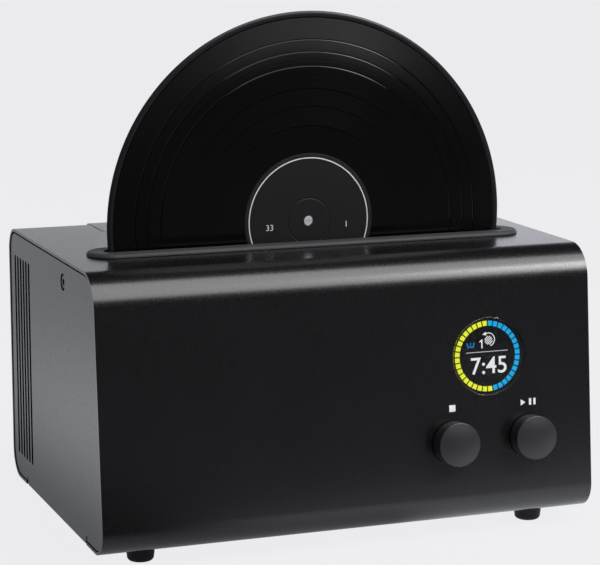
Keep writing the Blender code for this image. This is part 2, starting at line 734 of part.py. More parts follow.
def stadium_ring(name, section, centre, finish):
    """A solid round a stadium: each point of the section is an end radius and a height."""
    loops = []
    for radius, height in section:
        half_length = SLOT_HALF_LENGTH - SLOT_HALF_WIDTH + radius
        loops.append([(x, y, height) for x, y in stadium(half_length, radius, ROUND // 2)])
    count = len(loops[0])
    points = [point for loop in loops for point in loop]
    faces = []
    for i in range(len(loops)):
        this, following = i * count, (i + 1) % len(loops) * count
        for k in range(count):
            nxt = (k + 1) % count
            faces.append((this + k, following + k, following + nxt, this + nxt))
    mesh = bpy.data.meshes.new(name)
    mesh.from_pydata(points, [], faces)
    form = bmesh.new()
    form.from_mesh(mesh)
    bmesh.ops.recalc_face_normals(form, faces=form.faces)
    form.to_mesh(mesh)
    form.free()
    smooth(mesh)
    return add_object(name, mesh, finish, Matrix.Translation(centre))


def make_slot_bezel():
    inner, collar = SLOT_HALF_WIDTH, SLOT_HALF_WIDTH + COLLAR_WALL
    outer, edge = SLOT_HALF_WIDTH + BEZEL_BAND, BEZEL_EDGE
    section = [
        (inner, BEZEL_HEIGHT - edge),
        (inner + edge, BEZEL_HEIGHT),
        (outer - 2 * edge, BEZEL_HEIGHT),
        (outer - edge / 2, BEZEL_HEIGHT - edge / 2),
        (outer, BEZEL_HEIGHT - edge),
        (outer, GAP),
        (collar, GAP),
        (collar, -SHEET - COLLAR_DROP),
        (inner, -SHEET - COLLAR_DROP),
    ]
    stadium_ring("slot_bezel", section, at(0, RECORD_SETBACK, BODY_HEIGHT), SATIN_TRIM)


# Record
def make_record():
    half, bead = RECORD_THICKNESS / 2, RECORD_BEAD / 2
    inside = RECORD_RADIUS - RECORD_BEAD_WIDTH
    profile = [
        (RECORD_RADIUS, 0),
        (RECORD_RADIUS - bead / 2, -bead),
        (inside + bead / 2, -bead),
        (inside, -half),
        (RECORD_HOLE_RADIUS, -half),
        (RECORD_HOLE_RADIUS, half),
        (inside, half),
        (inside + bead / 2, bead),
        (RECORD_RADIUS - bead / 2, bead),
    ]
    turned("record_disc", profile, RECORD_CENTRE, FACING_FRONT, VINYL, steps=FINE, ring=True)
    low = half + LABEL_GAP
    paper = ring_profile(RECORD_HOLE_RADIUS, LABEL_RADIUS, low, low + LABEL_THICKNESS)
    for name, facing in (("label_front", FACING_FRONT), ("label_back", FACING_REAR)):
        turned(name, paper, RECORD_CENTRE, facing, LABEL_PAPER, steps=FINE // 2, ring=True)


# Wash bath
BATH_HALF = RECORD_RADIUS + BATH_SIDE_CLEARANCE
BATH_FLOOR = RECORD_Z - RECORD_RADIUS - BATH_BOTTOM_CLEARANCE
BATH_TOP = BODY_HEIGHT - SHEET - COLLAR_DROP - GAP
BATH_FRONT = RECORD_SETBACK - BATH_GAP / 2 - BATH_WALL
BATH_REAR = RECORD_SETBACK + BATH_GAP / 2 + BATH_WALL
BATH_NOZZLE_X = PUMP_FACE_X - PUMP_LENGTH / 2
ROLLER_DISTANCE = RECORD_RADIUS + GAP + ROLLER_GROOVE_RADIUS
ROLLER_X = ROLLER_DISTANCE * math.cos(ROLLER_ANGLE)
ROLLER_Z = RECORD_Z - ROLLER_DISTANCE * math.sin(ROLLER_ANGLE)
ROLLER_FRONT = RECORD_SETBACK - ROLLER_WIDTH / 2


def bath_loop(sides, top):
    """The bath's outline from the front, its sides and floor moved out by sides and its rim by top."""
    floor_half = BATH_HALF - BATH_CORNER_RUN
    shoulder = BATH_FLOOR + BATH_CORNER_RISE
    corners = [
        (-floor_half, BATH_FLOOR),
        (floor_half, BATH_FLOOR),
        (BATH_HALF, shoulder),
        (BATH_HALF, BATH_TOP),
        (-BATH_HALF, BATH_TOP),
        (-BATH_HALF, shoulder),
    ]
    radius = BATH_CORNER_RADIUS + sides
    loop = shrunk(corners, [-sides, -sides, -sides, -top, -sides, -sides])
    return rounded(loop, [radius, radius, radius, 0, 0, radius])


def air_port(side, front, rear, name):
    """A cutter for the port where drying air enters the bath's rear wall."""
    near, far = BATH_HALF - AIR_PORT_FROM_END - AIR_PORT_WIDTH, BATH_HALF - AIR_PORT_FROM_END
    top = BATH_TOP - AIR_PORT_FROM_TOP
    low, high = sorted((side * near, side * far))
    return box(name, at(low, front, top - AIR_PORT_HEIGHT), at(high, rear, top))


def make_wash_bath():
    centre = at(0, RECORD_SETBACK, 0)
    thick = BATH_REAR - BATH_FRONT
    bath = plate("wash_bath", [bath_loop(BATH_WALL, 0)], thick, centre, FACING_FRONT, BATH_STEEL)
    cut(bath, plate("bath_room", [bath_loop(0, OVERRUN)], BATH_GAP, centre, FACING_FRONT))
    pin_root = at(-ROLLER_X, BATH_REAR - BATH_WALL / 2, ROLLER_Z)
    pin_length = BATH_REAR - BATH_WALL / 2 - ROLLER_FRONT
    fuse(bath, rod("idler_pin", pin_root, FACING_FRONT, pin_length, IDLER_PIN_RADIUS, segments=SMALL))
    nozzle_end = BATH_FLOOR - BATH_WALL - BATH_NOZZLE_LENGTH
    start = at(BATH_NOZZLE_X, RECORD_SETBACK, nozzle_end)
    length = BATH_NOZZLE_LENGTH + BATH_WALL / 2
    fuse(bath, rod("bath_nozzle", start, UPRIGHT, length, BATH_NOZZLE_RADIUS, segments=SMALL))
    start = at(BATH_NOZZLE_X, RECORD_SETBACK, nozzle_end - OVERRUN)
    length = BATH_NOZZLE_LENGTH + BATH_WALL + 2 * OVERRUN
    cut(bath, rod("bath_nozzle_bore", start, UPRIGHT, length, BATH_NOZZLE_BORE, segments=SMALL))
    start = at(ROLLER_X, BATH_REAR - BATH_WALL - OVERRUN / 2, ROLLER_Z)
    radius = SHAFT_RADIUS + RUNNING
    cut(bath, rod("drive_shaft_cut", start, FACING_REAR, BATH_WALL + OVERRUN, radius, segments=SMALL))
    for side, name in ((-1, "left_port_cut"), (1, "right_port_cut")):
        cut(bath, air_port(side, RECORD_SETBACK, BATH_REAR + OVERRUN, name))


def make_bath_brackets():
    """Blocks between the bath's ends and the casing's sides, each drawn up by a screw from outside."""
    low_x, high_x = BATH_HALF + BATH_WALL + GAP, PANEL_INNER_X - GAP
    face = HALF_WIDTH - SIDE_INSET - SCREW_HEAD_SUNK
    seat = face - SCREW_HEAD_LENGTH
    head = [
        (0, face),
        (SCREW_HEAD_RADIUS, face),
        (SCREW_HEAD_RADIUS, seat),
        (SCREW_SHANK_RADIUS, seat),
        (SCREW_SHANK_RADIUS, seat - SCREW_SHANK_LENGTH),
        (0, seat - SCREW_SHANK_LENGTH),
    ]
    middle = at(0, RECORD_SETBACK, SIDE_SCREW_HEIGHT)
    for side, name, outwards in ((-1, "left", ALONG_MINUS_X), (1, "right", ALONG_X)):
        near, far = sorted((side * low_x, side * high_x))
        half = Vector((0, BRACKET_HALF_DEPTH, BRACKET_HALF_HEIGHT))
        low, high = middle - half + Vector((near, 0, 0)), middle + half + Vector((far, 0, 0))
        bracket = box("bath_bracket_" + name, low, high, ALUMINIUM)
        start = middle + Vector((side * (seat - GAP), 0, 0))
        radius = SCREW_HEAD_RADIUS + GAP
        cut(bracket, rod(name + "_counterbore", start, outwards, SCREW_HEAD_LENGTH, radius))
        deep = SCREW_SHANK_LENGTH + OVERRUN
        start = middle + Vector((side * (seat - deep), 0, 0))
        radius = SCREW_SHANK_RADIUS + SHAFT_FIT
        cut(bracket, rod(name + "_screw_hole", start, outwards, 2 * deep, radius, segments=SMALL))
        screw = turned("side_screw_" + name, head, middle, outwards, STEEL)
        start = middle + Vector((side * (face - SCREW_SOCKET_DEPTH), 0, 0))
        length = SCREW_SOCKET_DEPTH + OVERRUN
        socket = rod(name + "_socket", start, outwards, length, SCREW_SOCKET_RADIUS, segments=6)
        cut(screw, socket)


def make_transducers():
    high = TRANSDUCER_LENGTH
    profile = [
        (0, high),
        (TRANSDUCER_RADIUS, high),
        (TRANSDUCER_RADIUS, TRANSDUCER_FLANGE),
        (TRANSDUCER_FLANGE_RADIUS, TRANSDUCER_FLANGE),
        (TRANSDUCER_FLANGE_RADIUS, 0),
        (0, 0),
    ]
    for row, back, facing in (
        ("front", BATH_FRONT - GAP, FACING_FRONT),
        ("rear", BATH_REAR + GAP, FACING_REAR),
    ):
        for side, name in ((-1, "left"), (1, "right")):
            start = at(side * TRANSDUCER_SPACING / 2, back, TRANSDUCER_HEIGHT)
            turned(f"transducer_{row}_{name}", profile, start, facing, ALUMINIUM, steps=SMALL)


# Rollers and belt drive
PULLEY_FRONT = BATH_REAR + PULLEY_STANDOFF
PULLEY_REAR = PULLEY_FRONT + PULLEY_WIDTH
PLATE_FRONT = PULLEY_REAR + PULLEY_TO_PLATE
MOTOR_FRONT = PLATE_FRONT + MOTOR_PLATE + GAP
SUPPLY_REAR = BODY_DEPTH - REAR_BOTTOM_RADIUS
SUPPLY_FRONT = SUPPLY_REAR - SUPPLY_DEPTH
MOTOR_LENGTH = SUPPLY_FRONT - MOTOR_TO_SUPPLY - MOTOR_FRONT
MOTOR_Z = ROLLER_Z - BELT_CENTRES


def roller_profile(bore):
    half, floor, mouth = ROLLER_WIDTH / 2, ROLLER_GROOVE_FLOOR / 2, ROLLER_GROOVE_MOUTH / 2
    return [
        (ROLLER_RIM_RADIUS, half),
        (ROLLER_RIM_RADIUS, mouth),
        (ROLLER_GROOVE_RADIUS, floor),
        (ROLLER_GROOVE_RADIUS, -floor),
        (ROLLER_RIM_RADIUS, -mouth),
        (ROLLER_RIM_RADIUS, -half),
        (bore, -half),
        (bore, half),
    ]


def pulley_side(radius):
    """The outer side of a flanged pulley, from its far end down to its near one."""
    rim = radius + PULLEY_FLANGE
    return [
        (rim, PULLEY_WIDTH),
        (rim, PULLEY_WIDTH - PULLEY_FLANGE_WIDTH),
        (radius, PULLEY_WIDTH - PULLEY_FLANGE_WIDTH),
        (radius, PULLEY_FLANGE_WIDTH),
        (rim, PULLEY_FLANGE_WIDTH),
        (rim, 0),
    ]


def make_rollers():
    bore = SHAFT_RADIUS + SHAFT_FIT
    centre = at(ROLLER_X, RECORD_SETBACK, ROLLER_Z)
    turned("drive_roller", roller_profile(bore), centre, FACING_REAR, BLACK_RUBBER, ring=True)
    start = at(ROLLER_X, ROLLER_FRONT, ROLLER_Z)
    rod("drive_shaft", start, FACING_REAR, PULLEY_REAR - ROLLER_FRONT, SHAFT_RADIUS, STEEL, SMALL)
    profile = pulley_side(DRIVEN_PULLEY_RADIUS) + [(bore, 0), (bore, PULLEY_WIDTH)]
    start = at(ROLLER_X, PULLEY_FRONT, ROLLER_Z)
    turned("driven_pulley", profile, start, FACING_REAR, BLACK_PLASTIC, ring=True)
    centre = at(-ROLLER_X, RECORD_SETBACK, ROLLER_Z)
    bore = IDLER_PIN_RADIUS + RUNNING
    turned("idler_roller", roller_profile(bore), centre, FACING_REAR, BLACK_RUBBER, ring=True)


def belt_loop(offset):
    """A loop round both pulleys, seen from the front, offset from their belt tracks."""
    upper, lower = DRIVEN_PULLEY_RADIUS + offset, MOTOR_PULLEY_RADIUS + offset
    wrap = math.asin((upper - lower) / BELT_CENTRES)
    points = []
    for centre, radius, start, sweep in (
        (0, upper, -wrap, HALF_TURN + 2 * wrap),
        (-BELT_CENTRES, lower, HALF_TURN + wrap, HALF_TURN - 2 * wrap),
    ):
        for k in range(SMALL + 1):
            angle = start + sweep * k / SMALL
            points.append((radius * math.cos(angle), centre + radius * math.sin(angle)))
    return points


def make_belt_drive():
    loops = [belt_loop(RUNNING + BELT_THICKNESS), belt_loop(RUNNING)]
    centre = at(ROLLER_X, (PULLEY_FRONT + PULLEY_REAR) / 2, ROLLER_Z)
    plate("drive_belt", loops, BELT_WIDTH, centre, FACING_FRONT, BLACK_RUBBER)
    shaft_end = MOTOR_FRONT + MOTOR_SHAFT_SEAT - PULLEY_FRONT
    profile = [
        (0, shaft_end),
        (MOTOR_SHAFT_RADIUS, shaft_end),
        (MOTOR_SHAFT_RADIUS, PULLEY_WIDTH),
        *pulley_side(MOTOR_PULLEY_RADIUS),
        (0, 0),
    ]
    turned("motor_pulley", profile, at(ROLLER_X, PULLEY_FRONT, MOTOR_Z), FACING_REAR, STEEL, SMALL)
    boss_front = MOTOR_FRONT - MOTOR_BOSS_LENGTH
    start = at(ROLLER_X, MOTOR_FRONT, MOTOR_Z)
    motor = rod("drive_motor", start, FACING_REAR, MOTOR_LENGTH, MOTOR_RADIUS, STEEL)
    start = at(ROLLER_X, boss_front, MOTOR_Z)
    length = MOTOR_BOSS_LENGTH + OVERRUN
    fuse(motor, rod("motor_boss", start, FACING_REAR, length, MOTOR_BOSS_RADIUS, segments=SMALL))
    start = at(ROLLER_X, boss_front - OVERRUN, MOTOR_Z)
    length = MOTOR_BOSS_LENGTH + MOTOR_SHAFT_SEAT + 2 * OVERRUN
    radius = MOTOR_SHAFT_RADIUS + RUNNING
    cut(motor, rod("motor_bore", start, FACING_REAR, length, radius, segments=SMALL))
    half = MOTOR_RADIUS + MOTOR_PLATE_MARGIN
    floor = SHEET + GAP
    low = at(ROLLER_X - half, PLATE_FRONT, floor)
    high = at(ROLLER_X + half, PLATE_FRONT + MOTOR_PLATE, MOTOR_Z + half)
    bracket = box("motor_bracket", low, high, STEEL)
    high = at(ROLLER_X + half, PLATE_FRONT + MOTOR_PLATE_FOOT, floor + MOTOR_PLATE)
    fuse(bracket, box("bracket_foot", low, high))
    start = at(ROLLER_X, PLATE_FRONT - OVERRUN, MOTOR_Z)
    length, radius = MOTOR_PLATE + 2 * OVERRUN, MOTOR_BOSS_RADIUS + GAP
    cut(bracket, rod("bracket_hole", start, FACING_REAR, length, radius, segments=SMALL))


# Controls
GLASS_BACK = DISPLAY_THICKNESS - DISPLAY_PROUD
FRAME_FRONT = SHEET + GAP
BOARD_FACE = FRAME_FRONT + FRAME_DEPTH + GAP
ENCODER_FRONT = BOARD_FACE - GAP - ENCODER_DEPTH
PLUNGER_RADIUS = ENCODER_SHAFT_RADIUS + SHAFT_FIT + PLUNGER_WALL


def knob_places():
    half = KNOB_SPACING / 2
    return (("left", CONTROLS_X - half), ("right", CONTROLS_X + half))


def controls_plate(name, depth, thickness, finish):
    """A rectangular plate behind the front, as wide as the knobs and as high as knobs and display."""
    half_wide = (KNOB_SPACING + ENCODER_SIZE) / 2 + FRAME_MARGIN
    low = KNOB_HEIGHT - ENCODER_SIZE / 2 - FRAME_MARGIN
    high = DISPLAY_HEIGHT + DISPLAY_RADIUS + FRAME_MARGIN
    centre = on_front(CONTROLS_X, (low + high) / 2, -depth - thickness / 2)
    size = (2 * half_wide, high - low, thickness)
    return block(name, size, Matrix.Translation(centre) @ OUT_OF_FRONT, finish)


def make_display():
    edge = DISPLAY_EDGE
    profile = [
        (0, DISPLAY_PROUD),
        (DISPLAY_RADIUS - edge, DISPLAY_PROUD),
        (DISPLAY_RADIUS, DISPLAY_PROUD - edge),
        (DISPLAY_RADIUS, -GLASS_BACK),
        (0, -GLASS_BACK),
    ]
    place = on_front(CONTROLS_X, DISPLAY_HEIGHT)
    turned("display_glass", profile, place, OUT_OF_FRONT, GLASS_BLACK, steps=FINE)
    low, high = -BOARD_FACE + GAP, -GLASS_BACK - GAP
    profile = [(0, high), (SCREEN_RADIUS, high), (SCREEN_RADIUS, low), (0, low)]
    turned("display_screen", profile, place, OUT_OF_FRONT, SCREEN_BLACK, steps=FINE // 2)


def make_control_boards():
    frame = controls_plate("control_frame", FRAME_FRONT, FRAME_DEPTH, BLACK_PLASTIC)
    start = on_front(CONTROLS_X, DISPLAY_HEIGHT, -BOARD_FACE - OVERRUN)
    through = BOARD_FACE + 2 * OVERRUN
    radius = SCREEN_RADIUS + GAP
    cut(frame, rod("screen_cut", start, OUT_OF_FRONT, through, radius, segments=FINE // 2))
    size = ENCODER_SIZE + 2 * GAP
    for side, x in knob_places():
        middle = on_front(x, KNOB_HEIGHT, -FRAME_FRONT - FRAME_DEPTH / 2)
        matrix = Matrix.Translation(middle) @ OUT_OF_FRONT
        cut(frame, block(side + "_encoder_cut", (size, size, FRAME_DEPTH + OVERRUN), matrix))
    controls_plate("control_board", BOARD_FACE, BOARD_THICKNESS, BOARD_GREEN)


def make_encoder(side, x):
    depth = ENCODER_FRONT + ENCODER_DEPTH / 2
    matrix = Matrix.Translation(on_front(x, KNOB_HEIGHT, -depth)) @ OUT_OF_FRONT
    size = (ENCODER_SIZE, ENCODER_SIZE, ENCODER_DEPTH)
    body = block(side + "_encoder_body", size, matrix, STEEL)
    start = on_front(x, KNOB_HEIGHT, -BOARD_FACE)
    radius = PLUNGER_RADIUS + RUNNING
    cut(body, rod(side + "_encoder_bore", start, OUT_OF_FRONT, BOARD_FACE, radius, segments=SMALL))
    low = -ENCODER_FRONT - PLUNGER_LENGTH
    profile = ring_profile(ENCODER_SHAFT_RADIUS + SHAFT_FIT, PLUNGER_RADIUS, low, -ENCODER_FRONT)
    axis = on_front(x, KNOB_HEIGHT)
    name = side + "_encoder_plunger"
    turned(name, profile, axis, OUT_OF_FRONT, BLACK_PLASTIC, steps=SMALL, ring=True)
    start = on_front(x, KNOB_HEIGHT, low + GAP)
    length = KNOB_STANDOFF + KNOB_BORE_DEPTH - 2 * GAP - low
    rod(side + "_encoder_shaft", start, OUT_OF_FRONT, length, ENCODER_SHAFT_RADIUS, STEEL, SMALL)


def make_knob(side, x):
    """A cap with a domed front, hollow behind round a hub that grips the encoder's shaft."""
    back, face, edge = KNOB_STANDOFF, KNOB_LENGTH, KNOB_EDGE
    skirt = back + KNOB_SKIRT
    bore = ENCODER_SHAFT_RADIUS + SHAFT_FIT
    bore_end = back + KNOB_BORE_DEPTH
    profile = [
        (0, face),
        (KNOB_RADIUS - edge, face),
        (KNOB_RADIUS - edge / 3, face - edge / 3),
        (KNOB_RADIUS, face - edge),
        (KNOB_RADIUS, back),
        (KNOB_RADIUS - KNOB_WALL, back),
        (KNOB_RADIUS - KNOB_WALL, skirt),
        (KNOB_HUB_RADIUS, skirt),
        (KNOB_HUB_RADIUS, back),
        (bore, back),
        (bore, bore_end),
        (0, bore_end),
    ]
    turned(side + "_knob", profile, on_front(x, KNOB_HEIGHT), OUT_OF_FRONT, KNOB_BLACK, steps=ROUND)


# Water tank
TANK_X = (TANK_LEFT + TANK_RIGHT) / 2
TANK_REAR = BODY_DEPTH - SHEET - TANK_CLEARANCE
TANK_Y = TANK_REAR - TANK_DEPTH / 2
TANK_FLOOR = CRADLE_FLOOR_TOP + GAP
TANK_RIM = BODY_HEIGHT - LID_THICKNESS - GAP
SPIGOT_X = TANK_LEFT + SPIGOT_FROM_LEFT
SPIGOT_END = TANK_FLOOR - SPIGOT_LENGTH
POCKET_REAR = TANK_Y + LID_POCKET_WIDTH / 2
HANDLE_Y = POCKET_REAR - HANDLE_FROM_REAR
HANDLE_Z = BODY_HEIGHT - LID_POCKET_DEPTH / 2


def tank_block(name, wall, low, high, finish=None):
    """The tank's rounded block, or its hollow when walls are taken off."""
    half_x, half_y = TANK_LENGTH / 2 - wall, TANK_DEPTH / 2 - wall
    corners = [(-half_x, -half_y), (half_x, -half_y), (half_x, half_y), (-half_x, half_y)]
    radius = TANK_CORNER_RADIUS - wall
    centre = at(TANK_X, TANK_Y, (low + high) / 2)
    return plate(name, [rounded(corners, [radius] * 4)], high - low, centre, UPRIGHT, finish)


def make_water_tank():
    tank = tank_block("water_tank", 0, TANK_FLOOR, TANK_RIM, TANK_PLASTIC)
    cut(tank, tank_block("tank_room", TANK_WALL, TANK_FLOOR + TANK_WALL, TANK_RIM + OVERRUN))
    start = at(SPIGOT_X, TANK_Y, SPIGOT_END)
    length = SPIGOT_LENGTH + TANK_WALL / 2
    fuse(tank, rod("spigot", start, UPRIGHT, length, SPIGOT_RADIUS, segments=SMALL))
    start = at(SPIGOT_X, TANK_Y, SPIGOT_END - OVERRUN)
    length = SPIGOT_LENGTH + TANK_WALL + 2 * OVERRUN
    cut(tank, rod("spigot_bore", start, UPRIGHT, length, SPIGOT_BORE, segments=SMALL))
    start = at(SPIGOT_X, TANK_Y, TANK_FLOOR + TANK_WALL + GAP)
    rod("filter_sponge", start, UPRIGHT, SPONGE_HEIGHT, SPONGE_RADIUS, SPONGE, SMALL)


def make_tank_lid():
    front, top = TANK_FRONT + TANK_CLEARANCE, BODY_HEIGHT
    under, inside = top - LID_THICKNESS, BODY_DEPTH - LID_SKIRT
    low = top - TANK_REAR_DROP + TANK_CLEARANCE
    corners = [(front, under), (inside, under), (inside, low)]
    corners += [(BODY_DEPTH, low), (BODY_DEPTH, top), (front, top)]
    section = rounded(corners, [0, 0, 0, 0, LID_EDGE_RADIUS, 0])
    lid = plate("tank_lid", [section], BODY_WIDTH, at(0, 0, 0), SIDE_ON, LID_GREY)
    plan = plate("lid_plan", [tank_plan(TANK_CLEARANCE, OVERRUN)], BODY_HEIGHT, at(0, 0, top), UPRIGHT)
    keep_common(lid, plan)
    half = LID_POCKET_LENGTH / 2
    low = at(TANK_X - half, POCKET_REAR - LID_POCKET_WIDTH, top - LID_POCKET_DEPTH)
    cut(lid, box("lid_pocket", low, at(TANK_X + half, POCKET_REAR, top + OVERRUN)))
    wall, plug_low = TANK_WALL + GAP, TANK_RIM - LID_PLUG_DEPTH
    plug = tank_block("lid_plug", wall, plug_low, under + GAP)
    cut(plug, tank_block("plug_room", wall + LID_PLUG_WALL, plug_low - OVERRUN, under + 2 * GAP))
    fuse(lid, plug)
    reach = half + HANDLE_PIN_IN_WALL + GAP
    start = at(TANK_X - reach, HANDLE_Y, HANDLE_Z)
    radius = HANDLE_ROD_RADIUS + RUNNING
    cut(lid, rod("handle_holes", start, ALONG_X, 2 * reach, radius, segments=SMALL))


def make_tank_handle():
    """A bent-rod bail that lies flat in the lid's pocket, its pins in the pocket's end walls."""
    half = HANDLE_SPAN / 2
    tip = LID_POCKET_LENGTH / 2 + HANDLE_PIN_IN_WALL
    corners = [
        (-tip, 0, 0),
        (-half, 0, 0),
        (-half, -HANDLE_REACH, 0),
        (half, -HANDLE_REACH, 0),
        (half, 0, 0),
        (tip, 0, 0),
    ]
    radii = [0, HANDLE_PIN_BEND, HANDLE_BEND, HANDLE_BEND, HANDLE_PIN_BEND, 0]
    pivot = at(TANK_X, HANDLE_Y, HANDLE_Z)
    points = [point for point in rounded(corners, radii, cyclic=False, steps=4)]
    handle = tube("tank_handle", points, HANDLE_ROD_RADIUS, STEEL)
    handle.location = pivot


def make_tank_cradle():
    """A stand on the base that holds the tank's foot, open below for the hose."""
    left = TANK_X - TANK_LENGTH / 2 - TANK_CLEARANCE
    right = TANK_X + TANK_LENGTH / 2 + TANK_CLEARANCE
    front = TANK_REAR - TANK_DEPTH - TANK_CLEARANCE
    rear = BODY_DEPTH - SHEET - GAP
    top = CRADLE_FLOOR_TOP + CRADLE_POCKET
    low = at(left - CRADLE_WALL, front - CRADLE_WALL, SHEET + GAP)
    cradle = box("tank_cradle", low, at(right + CRADLE_WALL, rear, top), BLACK_PLASTIC)
    keep_common(cradle, inner_room())
    low = at(left, front, CRADLE_FLOOR_TOP)
    cut(cradle, box("cradle_pocket", low, at(right, BODY_DEPTH, top + OVERRUN)))
    low = at(left, front - CRADLE_WALL - OVERRUN, 0)
    cut(cradle, box("cradle_arch", low, at(right, BODY_DEPTH, CRADLE_FLOOR_TOP - CRADLE_FLOOR)))
    start = at(SPIGOT_X, TANK_Y, CRADLE_FLOOR_TOP - CRADLE_FLOOR - OVERRUN)
    length = CRADLE_FLOOR + 2 * OVERRUN
    cut(cradle, rod("spigot_hole", start, UPRIGHT, length, SPIGOT_RADIUS + GAP, segments=SMALL))


def inner_room():
    """The room inside the wrapped sheet, less the usual gap."""
    return plate("inner_room", [casing_loop(SHEET + GAP)], BODY_WIDTH, at(0, 0, 0), SIDE_ON)


# Pump and hoses
PUMP_NOZZLE_TIP = PUMP_FACE_X - PUMP_LENGTH - PUMP_NOZZLE_LENGTH
OUTLET_Z = PUMP_AXIS_HEIGHT - OUTLET_DROP
OUTLET_TIP = PUMP_SETBACK - PUMP_RADIUS - PUMP_NOZZLE_LENGTH / 2
HOSE_LOW = SHEET + HOSE_FLOOR_CLEARANCE + HOSE_RADIUS


def pump_foot(name, low_x, high_x):
    """A foot from the base up to the pump's axis."""
    half = PUMP_FOOT_WIDTH / 2
    low = at(low_x, PUMP_SETBACK - half, SHEET + GAP)
    return box(name, low, at(high_x, PUMP_SETBACK + half, PUMP_AXIS_HEIGHT))


def make_pump():
    axis = at(PUMP_FACE_X, PUMP_SETBACK, PUMP_AXIS_HEIGHT)
    start = axis - Vector((PUMP_LENGTH, 0, 0))
    housing = rod("pump_housing", start, ALONG_X, PUMP_LENGTH, PUMP_RADIUS, BLACK_PLASTIC)
    low_x, high_x = start.x + PUMP_FOOT_INSET, axis.x - PUMP_FOOT_INSET
    fuse(housing, pump_foot("housing_foot", low_x, high_x))
    reach = PUMP_NOZZLE_LENGTH + PUMP_WALL
    tip = at(PUMP_NOZZLE_TIP, PUMP_SETBACK, PUMP_AXIS_HEIGHT)
    fuse(housing, rod("pump_inlet", tip, ALONG_X, reach, PUMP_NOZZLE_RADIUS, segments=SMALL))
    outlet = at(BATH_NOZZLE_X, OUTLET_TIP, OUTLET_Z)
    length = PUMP_SETBACK - OUTLET_TIP
    fuse(housing, rod("pump_outlet", outlet, FACING_REAR, length, PUMP_NOZZLE_RADIUS, segments=SMALL))
    start = axis - Vector((PUMP_LENGTH - PUMP_WALL, 0, 0))
    inner = PUMP_RADIUS - PUMP_WALL
    cut(housing, rod("pump_room", start, ALONG_X, PUMP_LENGTH, inner))
    bore = PUMP_NOZZLE_BORE
    start = tip - Vector((OVERRUN, 0, 0))
    cut(housing, rod("pump_inlet_bore", start, ALONG_X, reach + 2 * OVERRUN, bore, segments=SMALL))
    start = outlet - Vector((0, OVERRUN, 0))
    length = PUMP_NOZZLE_LENGTH / 2 + PUMP_RADIUS / 2 + OVERRUN
    cut(housing, rod("pump_outlet_bore", start, FACING_REAR, length, bore, segments=SMALL))
    start = axis + Vector((GAP, 0, 0))
    motor = rod("pump_motor", start, ALONG_X, PUMP_MOTOR_LENGTH, PUMP_MOTOR_RADIUS, STEEL)
    fuse(motor, rod("pump_flange", start, ALONG_X, PUMP_FLANGE, PUMP_RADIUS))
    low_x, high_x = start.x, axis.x + PUMP_MOTOR_LENGTH - PUMP_FOOT_INSET
    fuse(motor, pump_foot("pump_motor_foot", low_x, high_x))
    start = axis - Vector((OVERRUN, 0, 0))
    length = IMPELLER_SHAFT_LENGTH + 2 * OVERRUN
    radius = SHAFT_RADIUS + RUNNING
    cut(motor, rod("pump_motor_bore", start, ALONG_X, length, radius, segments=SMALL))
    disc_face = axis - Vector((IMPELLER_CLEARANCE, 0, 0))
    start = disc_face - Vector((IMPELLER_DISC, 0, 0))
    impeller = rod("pump_impeller", start, ALONG_X, IMPELLER_DISC, IMPELLER_RADIUS, BLACK_PLASTIC)
    start = disc_face - Vector((IMPELLER_DISC / 2, 0, 0))
    length = IMPELLER_SHAFT_LENGTH + IMPELLER_DISC / 2
    fuse(impeller, rod("impeller_shaft", start, ALONG_X, length, SHAFT_RADIUS, segments=SMALL))
    overlap = IMPELLER_DISC / 2
    middle = disc_face - Vector((IMPELLER_DISC + IMPELLER_VANE / 2 - overlap / 2, 0, 0))
    inner, outer = IMPELLER_VANE_START, IMPELLER_RADIUS - GAP
    for k in range(IMPELLER_VANES):
        spin = Matrix.Rotation(2 * HALF_TURN * k / IMPELLER_VANES, 4, "X")
        shift = Matrix.Translation((0, 0, (inner + outer) / 2))
        size = (IMPELLER_VANE + overlap, IMPELLER_VANE_THICKNESS, outer - inner)
        matrix = Matrix.Translation(middle) @ spin @ shift
        fuse(impeller, block(f"impeller_vane_{k + 1}", size, matrix))


def make_hoses():
    low_x = PUMP_NOZZLE_TIP - GAP
    suction = [
        at(SPIGOT_X, TANK_Y, SPIGOT_END - GAP),
        at(SPIGOT_X, TANK_Y, HOSE_LOW),
        at(SPIGOT_X, PUMP_SETBACK, HOSE_LOW),
        at(SPIGOT_X, PUMP_SETBACK, PUMP_AXIS_HEIGHT),
        at(low_x, PUMP_SETBACK, PUMP_AXIS_HEIGHT),
    ]
    bends = [0, HOSE_BEND, HOSE_BEND, HOSE_BEND, 0]
    tube("suction_hose", rounded(suction, bends, cyclic=False), HOSE_RADIUS, HOSE)
    bath_end = BATH_FLOOR - BATH_WALL - BATH_NOZZLE_LENGTH - GAP
    fill = [
        at(BATH_NOZZLE_X, OUTLET_TIP - GAP, OUTLET_Z),
        at(BATH_NOZZLE_X, RECORD_SETBACK, OUTLET_Z),
        at(BATH_NOZZLE_X, RECORD_SETBACK, bath_end),
    ]
    tube("fill_hose", rounded(fill, [0, HOSE_BEND, 0], cyclic=False), HOSE_RADIUS, HOSE)


# Drying fans and ducts
FAN_OUTER_X = PANEL_INNER_X - GAP
FAN_INNER_X = FAN_OUTER_X - FAN_THICKNESS
FAN_SETBACK = BODY_DEPTH - VENT_FROM_REAR - (VENT_COUNT - 1) * VENT_PITCH / 2
FAN_HEIGHT = BATH_TOP - FAN_SIZE / 2


